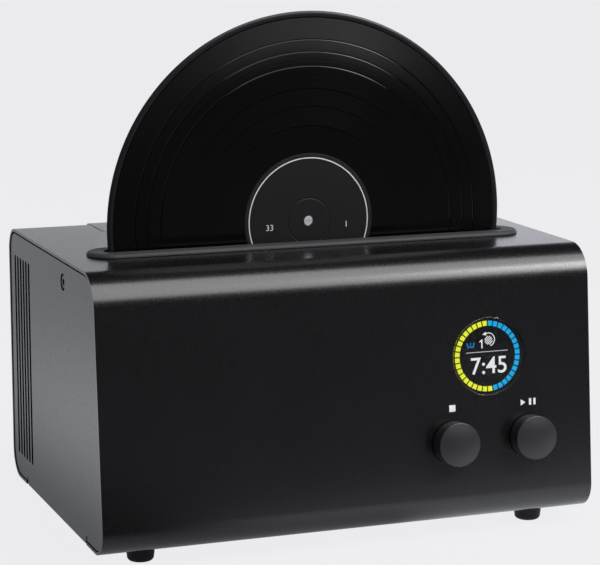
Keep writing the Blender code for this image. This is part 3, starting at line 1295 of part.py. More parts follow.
def make_fan(side, name, outwards):
    """A square frame behind the vents, and a bladed rotor on a pin of its inner hub."""
    axis = at(0, FAN_SETBACK, FAN_HEIGHT)

    def on_axis(x):
        return axis + Vector((side * x, 0, 0))

    square = Vector((0, FAN_SIZE / 2, FAN_SIZE / 2))
    near, far = sorted((side * FAN_INNER_X, side * FAN_OUTER_X))
    low, high = axis - square + Vector((near, 0, 0)), axis + square + Vector((far, 0, 0))
    frame = box("fan_frame_" + name, low, high, BLACK_PLASTIC)
    start = on_axis(FAN_INNER_X - OVERRUN)
    length = FAN_THICKNESS + 2 * OVERRUN
    cut(frame, rod(name + "_fan_bore", start, outwards, length, FAN_BORE_RADIUS))
    plate_end = FAN_INNER_X + FAN_BACKPLATE
    near, far = sorted((side * FAN_INNER_X, side * plate_end))
    reach = FAN_BORE_RADIUS + (FAN_SIZE / 2 - FAN_BORE_RADIUS) / 2
    for strut, half_y, half_z in (("level", reach, FAN_STRUT / 2), ("tall", FAN_STRUT / 2, reach)):
        half = Vector((0, half_y, half_z))
        low, high = axis - half + Vector((near, 0, 0)), axis + half + Vector((far, 0, 0))
        fuse(frame, box(f"{name}_{strut}_strut", low, high))
    start = on_axis(FAN_INNER_X)
    fuse(frame, rod(name + "_fan_hub", start, outwards, FAN_BACKPLATE, FAN_HUB_RADIUS, segments=SMALL))
    start = on_axis(FAN_INNER_X + FAN_BACKPLATE / 2)
    length = FAN_BACKPLATE / 2 + FAN_PIN_LENGTH
    fuse(frame, rod(name + "_fan_pin", start, outwards, length, FAN_PIN_RADIUS, segments=SMALL))
    hub_start = plate_end + FAN_END_CLEARANCE
    hub_length = FAN_OUTER_X - FAN_END_CLEARANCE - hub_start
    start = on_axis(hub_start)
    rotor = rod("fan_rotor_" + name, start, outwards, hub_length, FAN_HUB_RADIUS, BLACK_PLASTIC)
    inner, outer = FAN_HUB_RADIUS - FAN_BLADE_ROOT, FAN_BORE_RADIUS - FAN_TIP_CLEARANCE
    size = (outer - inner, FAN_BLADE_THICKNESS, FAN_BLADE_CHORD)
    for k in range(FAN_BLADES):
        spin = Matrix.Rotation(2 * HALF_TURN * k / FAN_BLADES, 4, "Z")
        shift = Matrix.Translation(((inner + outer) / 2, 0, hub_length / 2))
        pitch = Matrix.Rotation(QUARTER_TURN - FAN_BLADE_PITCH, 4, "X")
        matrix = Matrix.Translation(start) @ outwards @ spin @ shift @ pitch
        fuse(rotor, block(f"{name}_blade_{k + 1}", size, matrix))
    start = on_axis(FAN_INNER_X)
    length = FAN_BACKPLATE + FAN_PIN_LENGTH + GAP
    radius = FAN_PIN_RADIUS + RUNNING
    cut(rotor, rod(name + "_rotor_bore", start, outwards, length, radius, segments=SMALL))


def make_duct(side, name, outwards):
    """A duct that turns the fan's air forwards, to the port in the bath's rear wall."""
    outer_x = FAN_INNER_X - GAP
    inner_x = outer_x - DUCT_WIDTH
    front, rear = BATH_REAR + GAP, FAN_SETBACK + FAN_SIZE / 2
    bottom = BATH_TOP - FAN_SIZE
    wall = DUCT_WALL
    near, far = sorted((side * inner_x, side * outer_x))
    duct = box("air_duct_" + name, at(near, front, bottom), at(far, rear, BATH_TOP), BLACK_PLASTIC)
    low = at(near + wall, front + wall, bottom + wall)
    cut(duct, box(name + "_duct_room", low, at(far - wall, rear - wall, BATH_TOP - wall)))
    start = at(side * (inner_x + DUCT_WIDTH / 2), FAN_SETBACK, FAN_HEIGHT)
    radius = FAN_BORE_RADIUS - DUCT_WALL
    cut(duct, rod(name + "_duct_inlet", start, outwards, DUCT_WIDTH, radius))
    cut(duct, air_port(side, front - OVERRUN, front + OVERRUN, name + "_duct_outlet"))


# Electronics
BOARD_LEFT = BOARD_FROM_LEFT - HALF_WIDTH
BOARD_FLOOR = SHEET + BOARD_BOSS_HEIGHT + GAP

# Each component's left, front, width, depth and height, as shares of the board's length
COMPONENT_SHARES = (
    (0.08, 0.10, 0.22, 0.20, 0.15),
    (0.38, 0.08, 0.14, 0.12, 0.08),
    (0.60, 0.10, 0.30, 0.14, 0.12),
    (0.10, 0.40, 0.12, 0.16, 0.10),
    (0.34, 0.34, 0.20, 0.20, 0.04),
    (0.66, 0.36, 0.24, 0.18, 0.18),
)


def board_corners():
    inset = BOARD_BOSS_INSET
    xs = (BOARD_LEFT + inset, BOARD_LEFT + BOARD_LENGTH - inset)
    backs = (BOARD_SETBACK + inset, BOARD_SETBACK + BOARD_DEPTH - inset)
    return [(x, back) for x in xs for back in backs]


def make_main_board():
    low = at(BOARD_LEFT, BOARD_SETBACK, BOARD_FLOOR)
    board = box("main_board", low, low + Vector((BOARD_LENGTH, BOARD_DEPTH, BOARD_THICKNESS)), BOARD_GREEN)
    for k, shares in enumerate(COMPONENT_SHARES):
        left, front, wide, deep, tall = (share * BOARD_LENGTH for share in shares)
        corner = low + Vector((left, front, BOARD_THICKNESS / 2))
        size = Vector((wide, deep, tall + BOARD_THICKNESS / 2))
        fuse(board, box(f"component_{k + 1}", corner, corner + size))


def make_power_supply():
    right = HALF_WIDTH - FOOT_FROM_SIDE - FOOT_STUD_RADIUS - SUPPLY_FROM_STUD
    low = at(right - SUPPLY_LENGTH, SUPPLY_FRONT, SHEET + GAP)
    high = at(right, SUPPLY_REAR, SHEET + GAP + SUPPLY_HEIGHT)
    box("power_supply", low, high, STEEL, bevel=BEZEL_EDGE)


# Mains inlet and power switch
def rear_box(name, x, height, half_wide, half_tall, front, rear, finish=None):
    """A box by its middle as seen from behind, and by how far it lies behind the casing's front edge."""
    low = at(x - half_wide, front, height - half_tall)
    return box(name, low, at(x + half_wide, rear, height + half_tall), finish)


def make_mains_inlet():
    face = BODY_DEPTH + GAP + INLET_FLANGE
    half_wide, half_tall = INLET_LENGTH / 2, INLET_TALL / 2
    flange_front = BODY_DEPTH + GAP
    inlet = rear_box(
        "mains_inlet",
        INLET_X,
        INLET_HEIGHT,
        half_wide + INLET_EAR,
        half_tall + INLET_FLANGE,
        flange_front,
        face,
        BLACK_PLASTIC,
    )
    front = BODY_DEPTH - INLET_DEPTH
    body = rear_box("inlet_body", INLET_X, INLET_HEIGHT, half_wide, half_tall, front, face)
    fuse(inlet, body)
    wide, tall, floor = half_wide - INLET_WALL, half_tall - INLET_WALL, face - INLET_RECESS
    cut(inlet, rear_box("inlet_room", INLET_X, INLET_HEIGHT, wide, tall, floor, face + OVERRUN))
    root, tip = floor - INLET_WALL, floor + PIN_LENGTH
    places = ((-PIN_SPACING, -PIN_RAISE), (PIN_SPACING, -PIN_RAISE), (0, PIN_RAISE))
    for k, (x, up) in enumerate(places):
        height = INLET_HEIGHT + up
        half_pin = PIN_TALL / 2
        name = f"inlet_pin_{k + 1}"
        fuse(inlet, rear_box(name, INLET_X + x, height, PIN_WIDTH / 2, half_pin, root, tip))


def make_power_switch():
    face = BODY_DEPTH + GAP + INLET_FLANGE
    half_wide, half_tall = SWITCH_WIDE / 2, SWITCH_TALL / 2
    housing = rear_box(
        "switch_housing",
        INLET_X,
        SWITCH_HEIGHT,
        half_wide + SWITCH_BORDER,
        half_tall + SWITCH_BORDER,
        BODY_DEPTH + GAP,
        face,
        BLACK_PLASTIC,
    )
    front = BODY_DEPTH - SWITCH_DEPTH
    body = rear_box("switch_body", INLET_X, SWITCH_HEIGHT, half_wide, half_tall, front, face)
    fuse(housing, body)
    wide, tall = ROCKER_WIDE / 2 + RUNNING, ROCKER_TALL / 2 + RUNNING
    floor = face - SWITCH_POCKET
    pocket = rear_box("switch_pocket", INLET_X, SWITCH_HEIGHT, wide, tall, floor, face + OVERRUN)
    cut(housing, pocket)
    pivot = at(INLET_X, BODY_DEPTH - ROCKER_SINK, SWITCH_HEIGHT)
    reach = ROCKER_WIDE / 2 + ROCKER_PIN_LENGTH
    start = pivot - Vector((reach + GAP, 0, 0))
    radius = ROCKER_PIN_RADIUS + RUNNING
    cut(housing, rod("rocker_holes", start, ALONG_X, 2 * (reach + GAP), radius, segments=SMALL))
    tilt = Matrix.Rotation(-ROCKER_TILT, 4, "X")
    size = (ROCKER_WIDE, ROCKER_THICKNESS, ROCKER_TALL)
    rocker = block("switch_rocker", size, Matrix.Translation(pivot) @ tilt, BLACK_PLASTIC)
    start = pivot - Vector((reach, 0, 0))
    fuse(rocker, rod("rocker_pin", start, ALONG_X, 2 * reach, ROCKER_PIN_RADIUS, segments=SMALL))


make_outer_shell()
make_chassis()
make_feet()
make_slot_bezel()
make_record()
make_wash_bath()
make_bath_brackets()
make_transducers()
make_rollers()
make_belt_drive()
make_display()
make_control_boards()
for knob_side, knob_x in knob_places():
    make_encoder(knob_side, knob_x)
    make_knob(knob_side, knob_x)
make_water_tank()
make_tank_lid()
make_tank_handle()
make_tank_cradle()
make_pump()
make_hoses()
for fan_side, fan_name, fan_turn in ((-1, "left", ALONG_MINUS_X), (1, "right", ALONG_X)):
    make_fan(fan_side, fan_name, fan_turn)
    make_duct(fan_side, fan_name, fan_turn)
make_main_board()
make_power_supply()
make_mains_inlet()
make_power_switch()
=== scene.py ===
import json
import math

import bmesh
import bpy
from mathutils import Matrix, Vector


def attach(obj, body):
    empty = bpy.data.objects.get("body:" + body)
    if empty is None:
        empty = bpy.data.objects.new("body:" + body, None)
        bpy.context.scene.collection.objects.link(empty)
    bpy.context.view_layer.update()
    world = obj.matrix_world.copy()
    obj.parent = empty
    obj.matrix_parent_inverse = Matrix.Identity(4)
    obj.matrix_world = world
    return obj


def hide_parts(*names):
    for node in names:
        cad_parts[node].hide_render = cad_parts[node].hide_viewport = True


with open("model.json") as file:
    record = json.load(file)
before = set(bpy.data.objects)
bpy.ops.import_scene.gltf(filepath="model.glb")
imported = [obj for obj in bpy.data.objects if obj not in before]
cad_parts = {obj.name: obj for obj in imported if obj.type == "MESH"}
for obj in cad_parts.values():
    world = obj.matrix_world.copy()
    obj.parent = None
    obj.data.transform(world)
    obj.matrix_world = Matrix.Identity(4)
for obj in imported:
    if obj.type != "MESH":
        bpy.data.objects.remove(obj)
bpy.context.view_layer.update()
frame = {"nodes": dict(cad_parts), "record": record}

# Sizes in metres, in the frame of the part: +X to the right, the front looking along -Y, +Z up
BODY_WIDTH = 0.367
BODY_DEPTH = 0.2563
BODY_HEIGHT = 0.1919
FRONT_SETBACK = 0.0165
SHEET = 0.002
SIDE_INSET = 0.0006
SEAM = 0.0005
GAP = 0.0003
OVERRUN = 0.005
FRONT_Y = -0.1237363
FOOT_HEIGHT = 0.0112
HALF_WIDTH = BODY_WIDTH / 2
LEAN = math.atan2(FRONT_SETBACK, BODY_HEIGHT)
RECORD_SETBACK = 0.0977
RECORD_Z = 0.2086
CONTROLS_X = 0.1041
DISPLAY_HEIGHT = 0.1185
KNOB_HEIGHT = 0.0592
KNOB_SPACING = 0.0598
QUARTER = math.pi / 2
TRACK_GAPS = (0.0692, 0.0828, 0.0957, 0.1116, 0.1217, 0.1304)

ALONG_X = Matrix.Rotation(QUARTER, 4, "Y")
ALONG_MINUS_X = Matrix.Rotation(-QUARTER, 4, "Y")
FACING_FRONT = Matrix.Rotation(QUARTER, 4, "X")
FACING_REAR = Matrix.Rotation(-QUARTER, 4, "X")
OUT_OF_FRONT = Matrix.Rotation(QUARTER - LEAN, 4, "X")
UPRIGHT = Matrix.Identity(4)
SIDE_ON = Matrix(((0, 0, 1, 0), (1, 0, 0, 0), (0, 1, 0, 0), (0, 0, 0, 1)))
READ_FROM_REAR = Matrix(((-1, 0, 0, 0), (0, 0, 1, 0), (0, 1, 0, 0), (0, 0, 0, 1)))


def at(x, back, up):
    return Vector((x, FRONT_Y + back, FOOT_HEIGHT + up))


def on_front(x, height, out=0.0):
    sine, cosine = math.sin(LEAN), math.cos(LEAN)
    return at(x, height * sine - out * cosine, height * cosine + out * sine)


RECORD_CENTRE = at(0, RECORD_SETBACK, RECORD_Z)


# Materials
def new_material(name):
    made = bpy.data.materials.new(name)
    made.use_nodes = True
    tree = made.node_tree
    return made, tree, tree.nodes["Principled BSDF"]


def add_node(tree, kind, **values):
    node = tree.nodes.new(kind)
    for key, value in values.items():
        if key.startswith("in_"):
            node.inputs[key[3:].replace("_", " ")].default_value = value
        else:
            setattr(node, key, value)
    return node


def feed(tree, source, place):
    """Links a socket to the place, or writes a number or a colour there."""
    if isinstance(source, bpy.types.NodeSocket):
        tree.links.new(source, place)
    elif isinstance(source, tuple):
        place.default_value = (*source, 1)
    else:
        place.default_value = source


def ramp(tree, value, low, high, first=0.0, last=1.0, shape="SMOOTHSTEP"):
    """A number that runs from first to last while the value runs from low to high."""
    step = add_node(tree, "ShaderNodeMapRange", interpolation_type=shape)
    for name, source in (("From Min", low), ("From Max", high), ("To Min", first), ("To Max", last)):
        feed(tree, source, step.inputs[name])
    feed(tree, value, step.inputs["Value"])
    return step.outputs[0]


def maths(tree, operation, *terms):
    """The result of an operation on numbers and sockets."""
    step = add_node(tree, "ShaderNodeMath", operation=operation)
    for place, term in zip(step.inputs, terms):
        feed(tree, term, place)
    return step.outputs[0]


def mixed(tree, factor, first, second, blend="MIX"):
    """A colour between two others."""
    step = add_node(tree, "ShaderNodeMix", data_type="RGBA", blend_type=blend)
    for name, source in (("Factor", factor), ("A", first), ("B", second)):
        feed(tree, source, step.inputs[name])
    return step.outputs["Result"]


def noise(tree, place, scale, detail, **more):
    step = add_node(tree, "ShaderNodeTexNoise", in_Scale=scale, in_Detail=detail, **more)
    feed(tree, place, step.inputs["Vector"])
    return step


def relief(tree, shader, height, strength, depth):
    bump = add_node(tree, "ShaderNodeBump", in_Strength=strength, in_Distance=depth)
    feed(tree, height, bump.inputs["Height"])
    feed(tree, bump.outputs[0], shader.inputs["Normal"])


def glowing(tree, colour, strength, kind="ShaderNodeEmission"):
    glow = add_node(tree, kind)
    feed(tree, colour, glow.inputs["Color"])
    feed(tree, strength, glow.inputs["Strength"])
    return glow.outputs[0]


def blended(tree, factor, first, second):
    """The first shader where the factor is 0, and the second where it is 1."""
    step = add_node(tree, "ShaderNodeMixShader")
    for place, source in zip(step.inputs, (factor, first, second)):
        feed(tree, source, place)
    return step.outputs[0]


def surface(name, colour, roughness, metallic=0.0, grain=1500.0, spread=0.15, bump=0.02, depth=0.0001,
            specular=0.5, stretch=(1, 1, 1)):
    """A material whose colour drifts in soft patches, with a fine grain in its roughness and relief."""
    made, tree, shader = new_material(name)
    place = add_node(tree, "ShaderNodeTexCoord").outputs["Object"]
    mapping = add_node(tree, "ShaderNodeMapping", in_Scale=stretch)
    feed(tree, place, mapping.inputs["Vector"])
    fine = noise(tree, mapping.outputs[0], grain, 3.0, in_Roughness=0.6).outputs["Fac"]
    broad = noise(tree, place, 18.0, 4.0, in_Roughness=0.55).outputs["Fac"]
    drift = ramp(tree, maths(tree, "MULTIPLY_ADD", fine, 0.5, broad), 0.45, 1.05, shape="LINEAR")
    darker = tuple(c * (1 - spread) for c in colour)
    paler = tuple(min(1.0, c * (1 + spread)) for c in colour)
    feed(tree, mixed(tree, drift, darker, paler), shader.inputs["Base Color"])
    smoothest, roughest = max(0.02, roughness - ROUGH_SPREAD), min(1.0, roughness + ROUGH_SPREAD)
    feed(tree, ramp(tree, fine, 0.3, 0.7, smoothest, roughest, "LINEAR"), shader.inputs["Roughness"])
    relief(tree, shader, fine, bump, depth)
    shader.inputs["Metallic"].default_value = metallic
    shader.inputs["Specular IOR Level"].default_value = specular
    return made


ROUGH_SPREAD = 0.08
CASE = surface("anodised_black", (0.0046, 0.0044, 0.0054), 0.25, grain=1500, bump=0.24, depth=0.00006,
               spread=0.25, specular=0.75)
SIDE = surface("anodised_side", (0.012, 0.012, 0.016), 0.28, grain=1300, bump=0.14, depth=0.00004, spread=0.2)
TRIM = surface("satin_trim", (0.046, 0.048, 0.052), 0.58, grain=1800, bump=0.15, depth=0.00003, specular=0.35)
RUBBER = surface("foot_rubber", (0.008, 0.008, 0.009), 0.62, grain=1800, bump=0.35, depth=0.00006,
                 specular=0.3)
PLASTIC = surface("moulded_black", (0.016, 0.016, 0.018), 0.5, grain=1600, bump=0.3, depth=0.00005)
KNOB = surface("knob_satin", (0.017, 0.0165, 0.020), 0.38, grain=2800, bump=0.2, depth=0.00003, spread=0.1,
               specular=0.85)
STEEL = surface("bright_steel", (0.56, 0.56, 0.57), 0.28, 1.0, grain=900, stretch=(1, 1, 0.08), bump=0.1)
DARK_STEEL = surface("blackened_screw", (0.045, 0.045, 0.048), 0.35, 0.8, grain=1400)
BATH = surface("bath_stainless", (0.46, 0.47, 0.49), 0.34, 1.0, grain=700, stretch=(0.05, 1, 1), bump=0.12)
CAST = surface("cast_aluminium", (0.50, 0.51, 0.52), 0.45, 1.0, grain=1100, bump=0.35)
BOARD = surface("board_green", (0.016, 0.080, 0.040), 0.5, grain=400, spread=0.4, bump=0.15)
TANK = surface("smoked_tank", (0.060, 0.062, 0.070), 0.22, grain=500, bump=0.05)
LID = surface("lid_grey", (0.200, 0.208, 0.235), 0.30, grain=2400, bump=0.25, depth=0.00004)
FOAM = surface("open_foam", (0.50, 0.52, 0.45), 0.95, grain=420, spread=0.45, bump=1.0, depth=0.0012)
HOSE = surface("clear_hose", (0.55, 0.57, 0.56), 0.30, grain=300, bump=0.1)
BRASS = surface("brass_pin", (0.68, 0.50, 0.22), 0.28, 1.0, grain=900)
PRINT = surface("front_print", (0.84, 0.88, 0.93), 0.55, grain=2400, spread=0.05)
LABEL_PRINT = surface("label_print", (0.72, 0.72, 0.71), 0.6, grain=2400, spread=0.05)
SCREEN = surface("screen_black", (0.004, 0.004, 0.005), 0.30, grain=1500)


def radial_distance(tree):
    """The distance from the record's axis, from the object's own coordinates."""
    place = add_node(tree, "ShaderNodeTexCoord")
    shift = add_node(tree, "ShaderNodeVectorMath", operation="SUBTRACT")
    shift.inputs[1].default_value = RECORD_CENTRE
    tree.links.new(place.outputs["Object"], shift.inputs[0])
    flat = add_node(tree, "ShaderNodeVectorMath", operation="MULTIPLY")
    flat.inputs[1].default_value = (1, 0, 1)
    tree.links.new(shift.outputs[0], flat.inputs[0])
    length = add_node(tree, "ShaderNodeVectorMath", operation="LENGTH")
    tree.links.new(flat.outputs[0], length.inputs[0])
    return length.outputs["Value"], shift.outputs[0]


def vinyl_material():
    """Grooves spread light outwards from the centre, smooth bands stay glossy, and the rim is satin, with a
    paler bluish colour painted on it as a painted reflection of the light its bead gives back.
    """
    made, tree, shader = new_material("grooved_vinyl")
    radius, spot = radial_distance(tree)
    starts = ramp(tree, radius, TRACK_GAPS[0] - 0.0004, TRACK_GAPS[0] + 0.0002)
    played = maths(tree, "MULTIPLY", starts, ramp(tree, radius, 0.1458, 0.1455))
    for middle in TRACK_GAPS[1:]:
        off = maths(tree, "ABSOLUTE", maths(tree, "SUBTRACT", radius, middle))
        played = maths(tree, "MULTIPLY", played, ramp(tree, off, 0.00050, 0.00065, shape="LINEAR"))
    music = add_node(tree, "ShaderNodeTexNoise", noise_dimensions="1D", in_Scale=700.0, in_Detail=5.0)
    feed(tree, radius, music.inputs["W"])
    depth = maths(tree, "MULTIPLY_ADD", ramp(tree, radius, 0.104, 0.142), 0.36, 0.04)
    varied = maths(tree, "MULTIPLY_ADD", music.outputs["Fac"], 0.12, depth)
    rough = maths(tree, "MULTIPLY_ADD", varied, played, 0.07)
    rim = ramp(tree, radius, 0.1463, 0.1469)
    feed(tree, maths(tree, "MULTIPLY_ADD", rim, 0.20, rough), shader.inputs["Roughness"])
    feed(tree, maths(tree, "MULTIPLY", played, 0.80), shader.inputs["Anisotropic"])
    shader.inputs["Anisotropic Rotation"].default_value = 0.25
    shader.inputs["Specular IOR Level"].default_value = 0.34
    around = add_node(tree, "ShaderNodeTangent", direction_type="RADIAL", axis="Y")
    feed(tree, around.outputs[0], shader.inputs["Tangent"])
    dust = noise(tree, spot, 60.0, 5.0).outputs["Fac"]
    black = mixed(tree, dust, (0.0005, 0.0005, 0.0006), (0.0009, 0.0009, 0.0011))
    # Painted reflection: the rim's paler bluish colour stands in for the light reflected by the record's
    # bead.
    feed(tree, mixed(tree, rim, black, (0.0100, 0.0115, 0.0135)), shader.inputs["Base Color"])
    return made


def label_material():
    """Dark paper with a printed white ring, which stops short of a warmer edge."""
    made, tree, shader = new_material("record_label")
    radius, spot = radial_distance(tree)
    paper, white, edge = (0.0070, 0.0068, 0.0068, 1), (0.85, 0.84, 0.82, 1), (0.0120, 0.0105, 0.0092, 1)
    rings = add_node(tree, "ShaderNodeValToRGB")
    stops = rings.color_ramp.elements
    stops[0].position, stops[0].color = 0.0, paper
    stops[1].position, stops[1].color = 0.9040, paper
    for share, colour in ((0.9060, white), (0.9185, white), (0.9210, edge)):
        stops.new(share).color = colour
    feed(tree, maths(tree, "DIVIDE", radius, 0.050), rings.inputs["Fac"])
    fibre = noise(tree, spot, 900.0, 4.0)
    printed = mixed(tree, 0.35, rings.outputs["Color"], fibre.outputs["Color"], "MULTIPLY")
    feed(tree, printed, shader.inputs["Base Color"])
    relief(tree, shader, fibre.outputs["Fac"], 0.2, 0.00005)
    shader.inputs["Specular IOR Level"].default_value = 0.35
    feed(tree, ramp(tree, fibre.outputs["Fac"], 0, 1, 0.42, 0.62, "LINEAR"), shader.inputs["Roughness"])
    return made


def glass_material():
    made, tree, shader = new_material("display_glass_clear")
    place = add_node(tree, "ShaderNodeTexCoord").outputs["Object"]
    smear = noise(tree, place, 40.0, 2.0).outputs["Fac"]
    feed(tree, ramp(tree, smear, 0, 1, 0.01, 0.05, "LINEAR"), shader.inputs["Roughness"])
    shader.inputs["Base Color"].default_value = (0.93, 0.94, 0.95, 1)
    shader.inputs["Transmission Weight"].default_value = 1.0
    shader.inputs["IOR"].default_value = 1.45
    return made


def glow_material(name, colour, strength):
    """A lit mark of the display, with a faint pixel pattern in its brightness."""
    made, tree, shader = new_material(name)
    place = add_node(tree, "ShaderNodeTexCoord").outputs["Object"]
    pixels = noise(tree, place, 1800.0, 1.0).outputs["Fac"]
    feed(tree, mixed(tree, pixels, tuple(c * 0.93 for c in colour), colour), shader.inputs["Emission Color"])
    shader.inputs["Emission Strength"].default_value = strength
    shader.inputs["Base Color"].default_value = (0.01, 0.01, 0.01, 1)
    shader.inputs["Roughness"].default_value = 0.4
    return made


VINYL = vinyl_material()
LABEL = label_material()
GLASS = glass_material()
YELLOW = glow_material("lit_yellow", (0.90, 0.95, 0.035), 1.0)
BLUE = glow_material("lit_blue", (0.004, 0.43, 0.86), 1.0)
WHITE = glow_material("lit_white", (0.90, 0.90, 0.90), 1.0)
GREY = glow_material("lit_grey", (0.55, 0.55, 0.57), 1.0)
DIM_BLUE = glow_material("lit_dim_blue", (0.010, 0.19, 0.50), 1.0)


# Shapes
def rounded(corners, radii, cyclic=True, steps=18):
    """The points of a path whose corners are rounded by arcs."""
    points = []
    count = len(corners)
    for i, (corner, radius) in enumerate(zip(corners, radii)):
        corner = Vector(corner)
        if not radius or (not cyclic and i in (0, count - 1)):
            points.append(corner)
            continue
        before = (Vector(corners[i - 1]) - corner).normalized()
        after = (Vector(corners[(i + 1) % count]) - corner).normalized()
        half = before.angle(after) / 2
        centre = corner + (before + after).normalized() * (radius / math.sin(half))
        start = corner + before * (radius / math.tan(half)) - centre
        end = corner + after * (radius / math.tan(half)) - centre
        sweep = math.pi - 2 * half
        for k in range(steps + 1):
            share = k / steps
            blend = start * (math.sin((1 - share) * sweep) / math.sin(sweep))
            points.append(centre + blend + end * (math.sin(share * sweep) / math.sin(sweep)))
    return points


def shrunk(corners, distances):
    """A counter-clockwise loop with each side, from its corner to the next, moved inwards."""
    count = len(corners)
    sides = []
    for i in range(count):
        start, end = Vector(corners[i]), Vector(corners[(i + 1) % count])
        along = (end - start).normalized()
        sides.append((start + Vector((-along.y, along.x)) * distances[i], along))
    moved = []
    for i in range(count):
        (p, u), (q, v) = sides[i - 1], sides[i]
        moved.append(p + u * ((q - p).cross(v) / u.cross(v)))
    return moved


def stadium(half_length, radius, steps=32):
    straight = half_length - radius
    points = []
    for side, first in ((1, -QUARTER), (-1, QUARTER)):
        for k in range(steps + 1):
            angle = first + math.pi * k / steps
            points.append((side * straight + radius * math.cos(angle), radius * math.sin(angle)))
    return points


def arc(across, up, radius, start, end, steps):
    """Points from the start angle to the end angle."""
    angles = [start + (end - start) * k / steps for k in range(steps + 1)]
    return [(across + radius * math.cos(a), up + radius * math.sin(a)) for a in angles]


def place_mesh(name, mesh, matrix):
    """A new object whose mesh is already in the part's frame."""
    mesh.transform(matrix)
    made = bpy.data.objects.new(name, mesh)
    bpy.context.scene.collection.objects.link(made)
    return made


def smooth(mesh, degrees=32):
    mesh.shade_smooth()
    mesh.set_sharp_from_angle(angle=math.radians(degrees))


def tidy(form, name):
    bmesh.ops.remove_doubles(form, verts=form.verts, dist=0.000001)
    bmesh.ops.dissolve_degenerate(form, edges=form.edges, dist=0.000001)
    bmesh.ops.recalc_face_normals(form, faces=form.faces)
    mesh = bpy.data.meshes.new(name)
    form.to_mesh(mesh)
    form.free()
    smooth(mesh)
    return mesh


def plate(name, loops, thickness, centre, turn):
    """A flat outline in local X and Y, with holes, thick along local Z and centred on it."""
    outline = bpy.data.curves.new(name + "_outline", "CURVE")
    outline.dimensions = "2D"
    outline.fill_mode = "BOTH"
    outline.extrude = thickness / 2
    for loop in loops:
        spline = outline.splines.new("POLY")
        spline.points.add(len(loop) - 1)
        for point, place in zip(spline.points, loop):
            point.co = (place[0], place[1], 0, 1)
        spline.use_cyclic_u = True
    return from_curve(name, outline, Matrix.Translation(centre) @ turn)


def from_curve(name, curve, matrix):
    holder = bpy.data.objects.new(name + "_curve", curve)
    bpy.context.scene.collection.objects.link(holder)
    bpy.context.view_layer.update()
    mesh = bpy.data.meshes.new_from_object(holder.evaluated_get(bpy.context.evaluated_depsgraph_get()))
    bpy.data.objects.remove(holder, do_unlink=True)
    form = bmesh.new()
    form.from_mesh(mesh)
    return place_mesh(name, tidy(form, name), matrix)


def tube(name, points, radius, sides=4):
    route = bpy.data.curves.new(name + "_route", "CURVE")
    route.dimensions = "3D"
    route.bevel_depth = radius
    route.bevel_resolution = sides
    route.use_fill_caps = True
    spline = route.splines.new("POLY")
    spline.points.add(len(points) - 1)
    for point, place in zip(spline.points, points):
        point.co = (*place, 1)
    return from_curve(name, route, UPRIGHT)


def turned(name, profile, start, turn, steps=96, ring=False):
    """A profile of (radius, height) points turned about local +Z."""
    form = bmesh.new()
    rows = []
    for radius, height in profile:
        if radius < 1e-7:
            rows.append([form.verts.new((0, 0, height))])
            continue
        row = []
        for k in range(steps):
            angle = 2 * math.pi * k / steps
            row.append(form.verts.new((radius * math.cos(angle), radius * math.sin(angle), height)))
        rows.append(row)
    pairs = list(zip(rows, rows[1:]))
    if ring:
        pairs.append((rows[-1], rows[0]))
    for upper, lower in pairs:
        for k in range(steps):
            n = (k + 1) % steps
            corners = [upper[k % len(upper)], lower[k % len(lower)]]
            corners += [lower[n % len(lower)], upper[n % len(upper)]]
            unique = list(dict.fromkeys(corners))
            if len(unique) > 2:
                form.faces.new(unique)
    return place_mesh(name, tidy(form, name), Matrix.Translation(start) @ turn)


def block(name, low, high):
    low, high = Vector(low), Vector(high)
    form = bmesh.new()
    size = Matrix.Diagonal((*(high - low), 1.0))
    bmesh.ops.create_cube(form, size=1.0, matrix=Matrix.Translation((low + high) / 2) @ size)
    return place_mesh(name, tidy(form, name), UPRIGHT)


def rod(name, start, turn, length, radius, steps=64):
    return turned(name, [(0, length), (radius, length), (radius, 0), (0, 0)], start, turn, steps)


def combine(target, operation, *tools):
    """The target with the tools cut away, joined or kept in common. The tools are used up."""
    for tool in tools:
        step = target.modifiers.new("step", "BOOLEAN")
        step.operation = operation
        step.solver = "EXACT"
        step.object = tool
        bpy.context.view_layer.update()
        mesh = bpy.data.meshes.new_from_object(target.evaluated_get(bpy.context.evaluated_depsgraph_get()))
        target.modifiers.clear()
        form = bmesh.new()
        form.from_mesh(mesh)
        target.data = tidy(form, target.name)
        bpy.data.objects.remove(tool, do_unlink=True)
    return target


def cut(target, *tools):
    return combine(target, "DIFFERENCE", *tools)


def fuse(target, *tools):
    return combine(target, "UNION", *tools)


def soften(piece, width, segments=3, degrees=32):
    """Rounds the piece's edges a little, with its flat faces kept flat."""
    step = piece.modifiers.new("soft_edges", "BEVEL")
    step.width = width
    step.segments = segments
    step.limit_method = "ANGLE"
    step.angle_limit = math.radians(degrees)
    step.harden_normals = True
    piece.data.shade_smooth()
    return piece


def dress(piece, body, finish, slot, *nodes):
    """Gives the piece its material and body, and hides the nodes it stands for."""
    piece.data.materials.clear()
    piece.data.materials.append(finish)
    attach(piece, body)
    if nodes:
        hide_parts(*nodes)
    return piece


